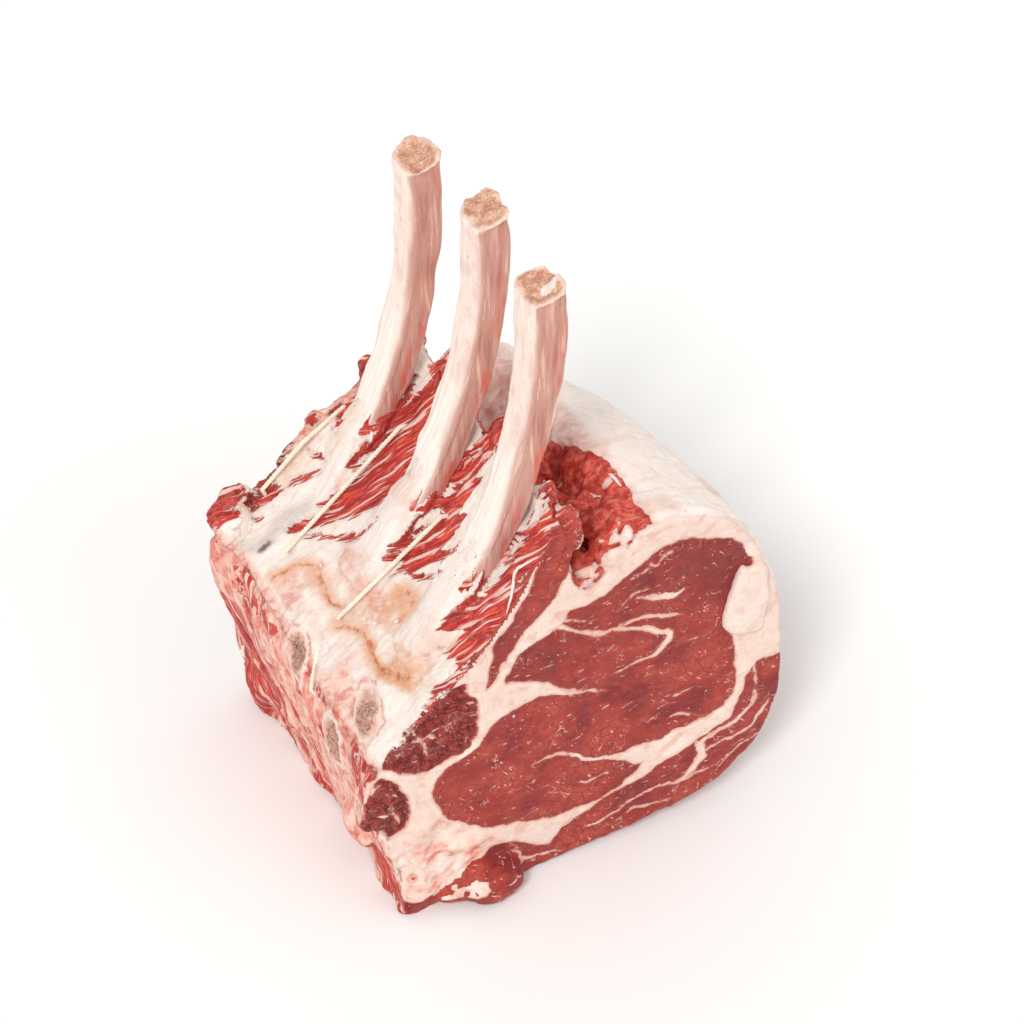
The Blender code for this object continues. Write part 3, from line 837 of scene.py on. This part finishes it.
FAT_LAYERS = (
    ("plain", ("cloud", 0.30, 0.50), "#f6e8de"),
    ("cut", ("fat", 1.5, 0.1, 0.9), "#d89e8c"),
    (("cloud", 0.52, 0.68, 0.7), "#f5e7dc"),
    ("cut", ("patchy", 0.50, 0.66, 0.6), "#e0af9d"),
    ("cut", ("seam_lines", 0.52, 0.68, 0.22), "#dca592"),
    ("cut", ("seam_lines", 0.46, 0.36, 0.2), "#f5e6da"),
    (("wander", 0.56, 0.75, 0.45), "#e5baa9"),
    ("inner", ("skin_lines", 0.50, 0.64, 0.55), "#fbf4ec"),
    ("inner", ("skin_lines", 0.46, 0.36, 0.45), "#e6c4b4"),
    ("inner", ("patchy", 0.58, 0.74, 0.55), "#eac0ad"),
    ("pink", "#ecae9b"),
    ("pink", ("flow", 0.50, 0.60, 0.9), "#dc7868"),
    ("pink", ("flow", 0.48, 0.38, 0.9), "#f3d8c8"),
    ("pink", ("patchy", 0.52, 0.66, 0.8), "#d4604f"),
    ("pink", ("speck", 0.54, 0.66, 0.5), "#f5dccd"),
    (("crease", -6.0, -1.0, 0.6), "#e5a273"),
    ("yellow", ("wander", 0.25, 0.60, 1.0, 0.35), "#e0a376"),
    ("yellow", ("patchy", 0.50, 0.64, 0.6), "#dc8f5f"),
    ("grey", ("skin_lines", 0.35, 0.6, 0.95, 0.35), "#c9bdb6"),
    # the creases' darker rust core: the tissue's own orange, deepened with painted shade
    (("crease", -1.2, 0.3), ("wander", 0.40, 0.6, 0.9, 0.1), "#c8713f"),
    ("stain", "#5d4344"),
)
BEEF_LAYERS = (
    ("marbling", "#dfae9f"),
    (("edge", -1.3, 0.1, 0.55), "#b9574b"),
    ("fatty", "pale"),
    (("oval", -4.0, -2.2, 0.7), ("patchy", 0.42, 0.56), "#d6665a"),
    (("oval", -2.6, -1.2), "#f0d8ca"),
    (("oval", -1.0, 0.3, 0.8), "#e4ab9b"),
    (("oval", 0.0, 1.6), "#c79c8a"),
    (("oval", 0.2, 1.6), ("pores", 0.46, 0.60), "#99675a"),
    (("oval", 0.2, 1.6), ("wander", 0.56, 0.68, 0.8), "#e3c4b4"),
)


def raw_beef_finish():
    """Raw beef as the knife left it: moist red muscle, cream fat and pale skin.

    The muscle is a soft satin red with fine grain and thin white flecks of marbling, the fat is
    firmer and paler, and the border between them is crisp but never straight.
    """
    finish, tree, got = new_finish("raw beef, knife-cut", ZONES + WAYS, BEEF_PATTERNS)
    spot = got["spot"]

    # where fat is: its depth, ragged by fibres on the wall and by a fine wander elsewhere
    got["tear"] = add(tree, "ShaderNodeMix", {
        0: got["inner"], 2: got["wander"], 3: got["strands"]}).outputs[0]
    got["edge"] = joined(
        tree, got, "ADD", ("tear", "ragged", 4.0), ("ragged", -2.0), ("fat",))
    got["fatty"] = share(tree, got, ("edge", -0.25, 0.30))
    got["lean"] = joined(tree, got, "ADD", (1.0,), ("fatty", -1.0))
    got["plain"] = joined(tree, got, "ADD", (1.0,), ("cut", -1.0))
    got["oval"] = joined(tree, got, "ADD", ("rough_edge", 3.5), (-1.75,), ("bone",))

    # marbling: lens-shaped flecks that lie one way here and another there, dots and squiggles
    face = add(tree, "ShaderNodeCombineXYZ", {
        "X": got["fibre_long"], "Y": got["fibre_cross"]}).outputs[0]
    flecks = []
    for turn, stretch, size in FLECK_WAYS:
        spun = add(tree, "ShaderNodeMapping", {"Vector": face, "Rotation": (0, 0, turn)})
        drawn = add(tree, "ShaderNodeVectorMath", {0: spun.outputs[0], 1: (stretch, 1, 1)},
                    operation="MULTIPLY")
        flecks.append(add(tree, "ShaderNodeTexNoise", {
            "Vector": drawn.outputs[0], "Scale": 1 / size, "Detail": 1.5, "Roughness": 0.5,
            "Distortion": 0.4}).outputs[0])
    got["either"] = add(tree, "ShaderNodeMix", {
        0: share(tree, got, ("cloud", 0.49, 0.52)), 2: flecks[0], 3: flecks[1]}).outputs[0]
    got["flecks"] = joined(
        tree, got, "ADD", ("either",), (("patchy", 0.42, 0.64, 0.075, -0.05),))
    got["most"] = joined(
        tree, got, "MAXIMUM", (("flecks", 0.690, 0.750),), (("dots", 0.80, 0.84), 0.8),
        (("bent", 0.490, 0.497), ("bent", 0.510, 0.503), ("here", 0.55, 0.62)))
    got["quiet"] = joined(tree, got, "ADD", (1.0,), ("bright", -0.85))
    got["marbling"] = share(tree, got, "most", "quiet", 0.95)
    got["sides"] = joined(tree, got, "MAXIMUM", ("inner",), ("cut",), ("chine",))
    got["striped"] = share(tree, got, "bright", "sides")

    # coarse bundles with pale and dark gaps in the small muscles by the chine, and fine cracks
    stray = add(tree, "ShaderNodeTexNoise", {"Vector": spot, "Scale": 0.26, "Detail": 2.0})
    pushed = add(tree, "ShaderNodeVectorMath", {0: stray.outputs[1], 1: (6, 6, 6), 2: spot},
                 operation="MULTIPLY_ADD").outputs[0]
    for name, way, size in (("lumps", pushed, 4.1667), ("cracks", spot, 6.6667)):
        got[name] = add(tree, "ShaderNodeTexVoronoi", {"Vector": way, "Scale": 1 / size},
                        feature="DISTANCE_TO_EDGE").outputs["Distance"]
    got["gap"] = share(tree, got, "coarse", ("lumps", 0.10, 0.02))
    got["crack"] = share(tree, got, ("cracks", 0.03, 0.008), ("cloud", 0.52, 0.60), "cut", "lean")

    got["muscle"] = lay(tree, got, "#9f352c", MUSCLE_LAYERS)
    got["pale"] = lay(tree, got, "#ecd2c5", FAT_LAYERS)
    rough = add(tree, "ShaderNodeMix", {
        0: got["fatty"], 2: share(tree, got, ("speck", 0.3, 0.7, 0.52, 0.34)),
        3: share(tree, got, ("wander", 0.3, 0.7, 0.60, 0.40))}).outputs[0]
    height = joined(
        tree, got, "ADD", ("speck",), ("threads", "bright"), ("threads", 0.35), ("fatty", 0.35),
        ("inner", "skin_lines", "fatty", 0.5), ("gap", -0.9), ("crack", -0.9))
    seal(tree, height, 0.7, 0.9, {
        "Base Color": lay(tree, got, "muscle", BEEF_LAYERS), "Roughness": rough, "IOR": 1.40,
        "Specular IOR Level": 0.35, "Subsurface Weight": 0.08,
        "Subsurface Radius": (1.0, 0.35, 0.25), "Subsurface Scale": 2 * MM})
    return finish


RIB_FIELDS = ("along_mm", "round_mm", "marrow", "shade", "blood", "pale", "sawn", "skin")
SHAFT = (("round_mm",), ("along_mm", 0.07))
RIB_PATTERNS = (
    ("streaks", SHAFT, 2.381, 5.0, 0.62, 0.0),
    ("threads", SHAFT, 0.7692, 3.0, 0.60, 0.0),
    ("cloud", None, 14.286, 3.0, 0.50, 0.0),
    ("blots", None, 4.1667, 3.0, 0.50, 0.0),
    ("sponge", None, 0.9091, 3.0, 0.70, 0.0),       # the marrow's pores
)
RIB_LAYERS = (
    (("streaks", 0.50, 0.66), "#faf0e6"),
    (("streaks", 0.46, 0.34, 0.6), "#e8c6b4"),
    (("threads", 0.60, 0.74, 0.35), "#dd9c8a"),
    (("cloud", 0.54, 0.70, 0.4), "#edcdb9"),
    (("cloud", 0.47, 0.36, 0.55), "#e3bfb8"),
    (("blots", 0.58, 0.72, 0.45), "#dc9a84"),
    # painted shade: the side of the bone that faces the front is darkened, with brownish streaks of
    # its own
    (("shade", 0.0, 1.0, 0.9), "#c08573"),
    ("shade", ("streaks", 0.50, 0.64, 0.8), "#ad6f64"),
    ("shade", ("streaks", 0.46, 0.36, 0.8), "#e4bba9"),
    ("blood", ("threads", 0.30, 0.62, 1.0, 0.35), "#cf5a47"),
    ("skin", "#f4e5da"),
    ("skin", ("streaks", 0.50, 0.62, 0.8), "#faf1e8"),
    ("skin", ("streaks", 0.46, 0.36, 0.7), "#e3c2b1"),
    ("sawn", ("cloud", 0.3, 0.6, 0.8, 0.3), "#eec3ab"),
    ("marrow", "#dba98c"),
    ("marrow", ("blots", 0.46, 0.60), "#c58a6c"),
    ("marrow", ("blots", 0.44, 0.34, 0.8), "#ecc9b0"),
    ("marrow", ("sponge", 0.52, 0.64, 0.8), "#b5795c"),
    ("marrow", ("sponge", 0.44, 0.34, 0.9), "#efd3bd"),
    ("pale", "#f6e6dc"),
)


def rib_bone_finish():
    """Rib bone scraped bare with a knife: pale pink, satin, streaked lengthwise with the last
    threads of its skin, with spongy brown marrow where it was sawn."""
    finish, tree, got = new_finish("rib bone, knife-scraped", RIB_FIELDS, RIB_PATTERNS)
    height = joined(
        tree, got, "ADD", ("streaks", 0.9), ("threads",), ("marrow", "sponge", 1.8))
    seal(tree, height, 0.5, 0.6, {
        "Base Color": lay(tree, got, "#f4ddd0", RIB_LAYERS),
        "Roughness": share(tree, got, ("streaks", 0.3, 0.7, 0.56, 0.36)), "IOR": 1.50,
        "Subsurface Weight": 0.12, "Subsurface Radius": (1.0, 0.55, 0.4),
        "Subsurface Scale": 2 * MM})
    return finish


TWINE_PATTERNS = (("fuzz", None, 0.5556, 3.0, 0.50, 0.0), ("damp", None, 8.333, 2.0, 0.50, 0.0))


def twine_finish():
    """Cotton butcher's twine, three plies twisted: matt, cream, a little fuzzy and damp."""
    finish, tree, got = new_finish("cotton twine, twisted", (), TWINE_PATTERNS)
    for name in ("damp", "fuzz"):
        got[name + "_share"] = add(tree, "ShaderNodeMapRange", {
            "Value": got[name], "From Min": 0.42, "From Max": 0.70}).outputs[0]
    colour = lay(tree, got, "#f1e6d2", (("damp_share", "#e6d3bb"), ("fuzz_share", "#f8f1e3")))
    seal(tree, got["fuzz"], 0.4, 0.2, {
        "Base Color": colour, "Roughness": 0.85, "Sheen Weight": 0.15})
    return finish


# ---------------------------------------------------------------- pieces

def make_flesh(finish):
    """The meat, its fat and its skin as one body of flesh, with the ribs' covered feet in it."""
    shape = bmesh.new()
    for node in ("eye_meat", "fat_cap", "outer_strip"):
        grown_copy(shape, node, MEAT_GROWN)
    for node, height in SCRAPED_FROM.items():
        grown_copy(shape, node, FOOT_GROWN, top=height)
    for node in SAWN_BONES:
        grown_copy(shape, node, SAWN_GROWN)
    for centre, radii in LUMPS:
        add_ball(shape, centre, radii)
    flesh = fused("flesh", shape, VOXEL, 3)
    mesh = flesh.data
    points, normals = read_points(mesh), read_normals(mesh)
    p = measure(points)
    points += normals * flesh_relief(p, flesh_fields(p, normals))[:, None] * MM
    points[:, 2] = np.maximum(points[:, 2], 0.0)
    write_points(mesh, points)
    mesh.calc_loop_triangles()
    work(flesh, "DECIMATE", ratio=min(FLESH_TRIANGLES / len(mesh.loop_triangles), 1.0))
    mesh = flesh.data
    p = measure(read_points(mesh))
    f = flesh_fields(p, read_normals(mesh))
    for name in ZONES:
        write_field(mesh, name, f[name])
    for name, values in zip(WAYS, (*fibre_axes(p, f), f["along"], p[:, 1])):
        write_field(mesh, name, values)
    mesh.materials.append(finish)
    mesh.shade_smooth()
    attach(flesh, "root")
    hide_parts("eye_meat", "fat_cap", "outer_strip", *SAWN_BONES)


def rim_distance(points, sawn):
    """Distance in millimetres of each sawn point from the nearest point of the shaft."""
    shaft = kdtree.KDTree(int((~sawn).sum()))
    for i, point in enumerate(points[~sawn]):
        shaft.insert(point, i)
    shaft.balance()
    away = np.zeros(len(points))
    away[sawn] = [shaft.find(point)[2] / MM for point in points[sawn]]
    return away


def make_rib(node, finish):
    """One rib bone: its shaft with a flat front edge, and its sawn top."""
    scraped = SCRAPED_FROM[node]
    shape = bmesh.new()
    grown_copy(shape, node, BONE_GROWN, foot=scraped - BURIED)
    rib = fused(node + "_bone", shape, BONE_VOXEL, 9)
    mesh = rib.data
    points, normals = read_points(mesh), read_normals(mesh)
    p = measure(points)
    x, y, z = p.T
    seed = int(node[-1]) * 10
    along = ARC_R * (np.arctan2(z - ARC_Z, x - ARC_X) + 0.8)
    across = y - RIB_Y[node]
    front, wall = -normals[:, 1], -normals[:, 0]
    on_wall = np.abs(wall) > 0.6
    top = z.max()
    on_top = (normals[:, 2] > 0.62) & (z > top - 34)
    rim = rim_distance(points, on_top)
    sawn = soft(0.0, 0.8, rim)
    shaft = 1 - sawn

    streaks = smooth_noise(np.stack([across, x * 0.8, along * 0.07], 1), 3.2, seed + 1, 3)
    relief = shaft * (0.45 * streaks + 0.9 * smooth_noise(p, 22, seed + 2, 2))
    relief += shaft * 0.35 * bump(front, 0.62, 0.16) * soft(0.2, 0.5, wall)
    relief -= shaft * 0.8 * soft(0.85, 0.98, front)
    pits = smooth_noise(p, 3.0, seed + 3, 3)
    relief += sawn * (1.2 * smooth_noise(p, 9, seed + 4, 2) + 0.9 * pits - 1.6 * soft(1.5, 5, rim))
    relief += 1.2 * soft(top - 12, top, z) * smooth_noise(p, 7, seed + 6, 2)
    buried = soft(scraped - 8, scraped - 24, z)
    relief = relief * (1 - buried) - 1.2 * buried
    write_points(mesh, points + normals * relief[:, None] * MM)

    marrow = soft(0.8, 2.2, rim + 0.8 * pits)
    blotch = smooth_noise(np.stack([across, x, along * 0.3], 1), 9, seed + 8, 3)
    # painted shade on the side that faces the front: darker and browner, blotched, where the bone's
    # own brownish streaks and blood also lie
    shade = soft(0.1, 0.85, front + 0.25 * blotch) * shaft
    skin = soft(scraped + 44, scraped + 6, z - 8 * blotch) * (1 - 0.9 * shade) * shaft
    low = soft(scraped + 46, scraped + 8, z)
    splash = smooth_noise(np.stack([across, x, z * 0.2], 1), 3.2, seed + 5, 3)
    far_edge = shade * soft(0.2, -0.2, wall)
    blood = np.clip(soft(-0.1, 0.35, splash) * far_edge * (low * 1.6 + 0.35), 0, 1)
    middle = p[on_top].mean(0) + np.array([2.0, -2.0, 0.0])
    from_middle = np.hypot(x - middle[0], (y - middle[1]) * 1.3)
    pale = marrow * soft(4.6, 3.2, from_middle + 2.0 * pits) * (node == "rib_3")
    round_way = np.where(on_wall, across, x)
    for name, values in zip(RIB_FIELDS, (along, round_way, marrow, shade, blood, pale, sawn, skin)):
        write_field(mesh, name, values)
    mesh.materials.append(finish)
    mesh.shade_smooth()
    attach(rib, "root")
    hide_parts(node)


# The strands of twine, as in the solids
TWINES = {
    "twine_1": [(41.0, 145.4, 160.2), (19.4, 141.5, 150.4), (1.5, 145.6, 126.5)],
    "twine_2": [(53.4, 113.8, 170.3), (-0.6, 115.6, 117.2)],
    "twine_3": [(48.8, 61.8, 166.2), (4.8, 70.3, 117.5)],
    "twine_4": [(-6.6, 66.1, 107.6), (-13.7, 57.7, 94.3)],
}
TWINE_SUNK = 6.5                     # how far each end goes into the meat
TWINE_ON = 3.5                       # and how far it runs on while it goes in
TWINE_INTO = Vector((0.8, 0.0, -0.6))
PLY_COUNT = 3
# Millimetres: between a ply's points, a full turn, middle to ply, a ply's own radius
PLY_SIZES = {"Step": 0.35, "Pitch": 5.5, "Ring": 0.50, "Ply radius": 0.52}


def ply_tree(finish):
    """Twists plies round a path: a helix for each ply, swept with a small round."""
    tree = bpy.data.node_groups.new("twist plies", "GeometryNodeTree")
    face = tree.interface
    face.new_socket("Geometry", in_out="INPUT", socket_type="NodeSocketGeometry")
    for name in PLY_SIZES:
        face.new_socket(name, in_out="INPUT", socket_type="NodeSocketFloat")
    face.new_socket("Geometry", in_out="OUTPUT", socket_type="NodeSocketGeometry")
    given = add(tree, "NodeGroupInput").outputs
    fine = add(tree, "GeometryNodeResampleCurve", {
        "Curve": given["Geometry"], "Length": given["Step"]}, mode="LENGTH").outputs[0]
    travel = add(tree, "GeometryNodeSplineParameter").outputs["Length"]
    turns = add(tree, "ShaderNodeMath", {0: travel, 1: given["Pitch"]}, operation="DIVIDE")
    angle = add(tree, "ShaderNodeMath", {0: turns.outputs[0], 1: 2 * math.pi}, operation="MULTIPLY")
    tangent = add(tree, "GeometryNodeInputTangent").outputs[0]
    side = add(tree, "ShaderNodeVectorMath", {0: tangent, 1: (0, 1, 0)}, operation="CROSS_PRODUCT")
    side = add(tree, "ShaderNodeVectorMath", {0: side.outputs[0]}, operation="NORMALIZE").outputs[0]
    reach = add(tree, "ShaderNodeVectorMath", {0: side, "Scale": given["Ring"]}, operation="SCALE")
    profile = add(tree, "GeometryNodeCurvePrimitiveCircle", {
        "Resolution": 8, "Radius": given["Ply radius"]}).outputs[0]
    joined = add(tree, "GeometryNodeJoinGeometry")
    for ply in range(PLY_COUNT):
        start = 2 * math.pi * ply / PLY_COUNT
        phase = add(tree, "ShaderNodeMath", {0: angle.outputs[0], 1: start}, operation="ADD")
        offset = add(tree, "ShaderNodeVectorRotate", {
            "Vector": reach.outputs[0], "Axis": tangent, "Angle": phase.outputs[0]})
        strand = add(tree, "GeometryNodeSetPosition", {
            "Geometry": fine, "Offset": offset.outputs[0]}).outputs[0]
        tube = add(tree, "GeometryNodeCurveToMesh", {
            "Curve": strand, "Profile Curve": profile, "Fill Caps": True}).outputs[0]
        tree.links.new(tube, joined.inputs[0])
    whole = add(tree, "GeometryNodeRealizeInstances", {0: joined.outputs[0]}).outputs[0]
    smooth = add(tree, "GeometryNodeSetShadeSmooth", {0: whole}).outputs[0]
    coated = add(tree, "GeometryNodeSetMaterial", {"Geometry": smooth, "Material": finish})
    add(tree, "NodeGroupOutput", {0: coated.outputs[0]})
    return tree


def make_twine(node, tree):
    """One strand of twine: a taut path whose ends dip into the meat, with plies twisted round."""
    points = [Vector(point) for point in TWINES[node]]
    on = (points[-1] - points[0]).normalized() * TWINE_ON
    into = TWINE_INTO * TWINE_SUNK
    spots = [points[0] - on + into, *points, points[-1] + on + into]
    curve = bpy.data.curves.new(node + "_path", "CURVE")
    curve.dimensions = "3D"
    spline = curve.splines.new("POLY")
    spline.points.add(len(spots) - 1)
    for point, spot in zip(spline.points, spots):
        point.co = (*place(*spot), 1.0)
    path = add_object(node + "_path", curve)
    step = path.modifiers.new("twist", "NODES")
    step.node_group = tree
    for socket in tree.interface.items_tree:
        if socket.in_out == "INPUT" and socket.name in PLY_SIZES:
            step[socket.identifier] = PLY_SIZES[socket.name] * MM
    strand = add_object(node + "_plies", baked(path))
    bpy.data.objects.remove(path, do_unlink=True)
    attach(strand, "root")
    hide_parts(node)


# The loose flap of fat that lies on the front face: (x, height) round its edge
FLAP = [
    (148, 119), (149, 127), (151, 135), (153.5, 143), (156, 148.5), (158.5, 147), (161, 146.5),
    (164, 147.5), (166.5, 146), (168, 139), (168.5, 131), (168.5, 122), (168, 114), (166.5, 108.5),
    (160, 108), (155, 109.5), (151, 113),
]
FLAP_MIDDLE = (159.5, 128.0)
FLAP_RINGS = 14
FLAP_FACE, FLAP_BACK = -3.3, 2.0    # how far forward its front and back stand

# Shreds of white tissue left by the knife: points of (x, y, height, half width)
SHREDS = [
    [(63.5, 0.5, 193.5, 0.2), (59.5, 3.9, 188.0, 0.5), (56.5, 6.3, 182.6, 0.65),
     (53, 2.3, 175.2, 0.55), (49.5, -0.2, 168, 0.2)],
    [(110.5, 34, 190, 0.3), (111, 30.5, 191.5, 0.7), (112, 25, 190.5, 0.3)],
    [(-14, 141, 40, 0.6), (-15.5, 139, 38.5, 1.1), (-15.0, 137.5, 36, 0.4)],
]
SHRED_SIDES, SHRED_STEPS = 10, 6
SHRED_FLATNESS = 0.55

# Crumbs of bone and fat: (x, y, height), size
CRUMBS = [
    ((48.9, 21.5, 182.5), 0.7), ((14, 52, 128), 0.9), ((12, 58, 125.5), 0.7), ((8, 96, 123.5), 0.6),
    ((-11.5, 130, 106), 0.7), ((20, 43, 135), 0.8),
]


def hand_over(name, mesh, finish, cut):
    """A small loose piece with the flesh's fields, so that it can share the flesh's finish."""
    p = measure(read_points(mesh))
    plain = {"bone": -20.0, "crease": -20.0, "fat": 6.0, "ragged": 1.0, "cut": cut}
    for field in ZONES:
        write_field(mesh, field, np.full(len(p), plain.get(field, 0.0)))
    for field, values in zip(WAYS, (p[:, 2], p[:, 0], p[:, 2], p[:, 0])):
        write_field(mesh, field, values)
    mesh.shade_smooth()
    piece = add_object(name, mesh, finish)
    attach(piece, "root")


def bridge(shape, low, high):
    """Faces between two closed rings of points."""
    for i in range(len(low)):
        j = (i + 1) % len(low)
        shape.faces.new((low[i], high[i], high[j], low[j]))


def make_flap(finish):
    """A flat flap of fat that hangs against the front face, its edge standing a little proud."""
    edge = smooth_path(FLAP, closed=True, steps=3)[:-1]
    mid_x, mid_z = FLAP_MIDDLE
    shape = bmesh.new()
    rims = []
    for depth, rounding in ((FLAP_FACE, 1.1), (FLAP_BACK, 0.0)):
        middle = shape.verts.new(place(mid_x, depth, mid_z))
        rings = []
        for ring in range(1, FLAP_RINGS):
            out = ring / (FLAP_RINGS - 1)
            y = depth + rounding * out ** 10
            rings.append([shape.verts.new(place(
                mid_x + (x - mid_x) * out, y, mid_z + (z - mid_z) * out)) for x, z in edge])
        for i, start in enumerate(rings[0]):
            shape.faces.new((middle, start, rings[0][(i + 1) % len(edge)]))
        for low, high in zip(rings, rings[1:]):
            bridge(shape, low, high)
        rims.append(rings[-1])
    bridge(shape, *rims)
    bmesh.ops.recalc_face_normals(shape, faces=shape.faces)
    mesh = mesh_of("fat_flap", shape)
    points = read_points(mesh)
    p = measure(points)
    wave = 0.9 * smooth_noise(p, 13, 151, 3) + 0.25 * smooth_noise(p, 3.5, 153, 2)
    points[:, 1] += wave * MM
    points[:, 0] += 0.5 * smooth_noise(p, 4, 155, 2) * MM
    write_points(mesh, points)
    hand_over("fat_flap", mesh, finish, cut=0.7)


def make_shreds(finish):
    """Shreds and crumbs of white tissue, as tapered flat cords and small lumps."""
    shape = bmesh.new()
    for shred in SHREDS:
        path = smooth_path(shred, closed=False, steps=SHRED_STEPS)
        rings = []
        for i, (*spot, half) in enumerate(path):
            before, after = path[max(i - 1, 0)], path[min(i + 1, len(path) - 1)]
            run = (Vector(after[:3]) - Vector(before[:3])).normalized()
            side = run.cross(Vector((0.3, 0.6, -0.7))).normalized()
            flat = run.cross(side) * SHRED_FLATNESS
            ring = []
            for k in range(SHRED_SIDES):
                angle = 2 * math.pi * k / SHRED_SIDES
                wave = 1 + 0.25 * math.sin(i * 1.7 + k)
                rim = side * (math.cos(angle) * wave) + flat * math.sin(angle)
                ring.append(shape.verts.new(place(*(Vector(spot) + rim * half))))
            rings.append(ring)
        for low, high in zip(rings, rings[1:]):
            bridge(shape, low, high)
        shape.faces.new(rings[0])
        shape.faces.new(rings[-1])
    for i, (spot, size) in enumerate(CRUMBS):
        turn = Matrix.Rotation(i * 1.3, 3, Vector((1, 0.5, 0.2))).to_quaternion()
        add_ball(shape, spot, (1.3 * size, 0.8 * size, size), turn, rounds=2)
    bmesh.ops.recalc_face_normals(shape, faces=shape.faces)
    hand_over("white_shreds", mesh_of("shreds", shape), finish, cut=0.0)


# ---------------------------------------------------------------- stage

VIEW_AZIMUTH, VIEW_ELEVATION = -25.0, 45.0
VIEW_DISTANCE = 1.4
VIEW_TARGET = place(87.0, 75.0, 141.0)
VIEW_LENS, SENSOR_WIDTH = 117.14, 36.0
FLOOR_HALF = 6.0                    # metres
# Strength, direction, and how wide each far light looks, in degrees
SUNS = {"key": (1.40, (0.50, 0.50, -0.80), 14), "fill": (0.35, (-0.45, 0.75, -0.45), 40)}
SKY_STRENGTH = 0.80


def make_camera():
    data = bpy.data.cameras.new("camera")
    data.lens = VIEW_LENS
    data.sensor_width = SENSOR_WIDTH
    camera = add_object("camera", data)
    a, e = math.radians(VIEW_AZIMUTH), math.radians(VIEW_ELEVATION)
    back = Vector((math.sin(a) * math.cos(e), -math.cos(a) * math.cos(e), math.sin(e)))
    camera.location = VIEW_TARGET + back * VIEW_DISTANCE
    camera.rotation_euler = back.to_track_quat("Z", "Y").to_euler()
    bpy.context.scene.camera = camera


def add_sun(name, strength, direction, softness):
    """A far light that shines along a direction."""
    data = bpy.data.lights.new(name, "SUN")
    data.energy = strength
    data.angle = math.radians(softness)
    sun = add_object(name, data)
    sun.rotation_euler = (-Vector(direction)).to_track_quat("Z", "Y").to_euler()


def make_stage():
    """A plain pale floor under soft white studio light."""
    mesh = bpy.data.meshes.new("floor")
    corners = [(x * FLOOR_HALF, y * FLOOR_HALF, 0) for x, y in ((-1, -1), (1, -1), (1, 1), (-1, 1))]
    mesh.from_pydata(corners, [], [(0, 1, 2, 3)])
    finish, tree, _ = new_finish("plain pale floor")
    seal(tree, None, 0, 0, {
        "Base Color": srgb("#f4f3f1"), "Roughness": 0.9, "Specular IOR Level": 0.1})
    add_object("floor", mesh, finish)
    world = bpy.data.worlds.new("studio")
    bpy.context.scene.world = world
    world.use_nodes = True
    sky = world.node_tree.nodes["Background"]
    sky.inputs["Color"].default_value = (1, 1, 1, 1)
    sky.inputs["Strength"].default_value = SKY_STRENGTH
    for name, sun in SUNS.items():
        add_sun(name, *sun)
    bpy.context.scene.view_settings.view_transform = "Standard"


def main():
    make_camera()
    make_stage()
    beef = raw_beef_finish()
    make_flesh(beef)
    make_flap(beef)
    make_shreds(beef)
    bone = rib_bone_finish()
    for node in RIB_Y:
        make_rib(node, bone)
    plies = ply_tree(twine_finish())
    for node in TWINES:
        make_twine(node, plies)


main()
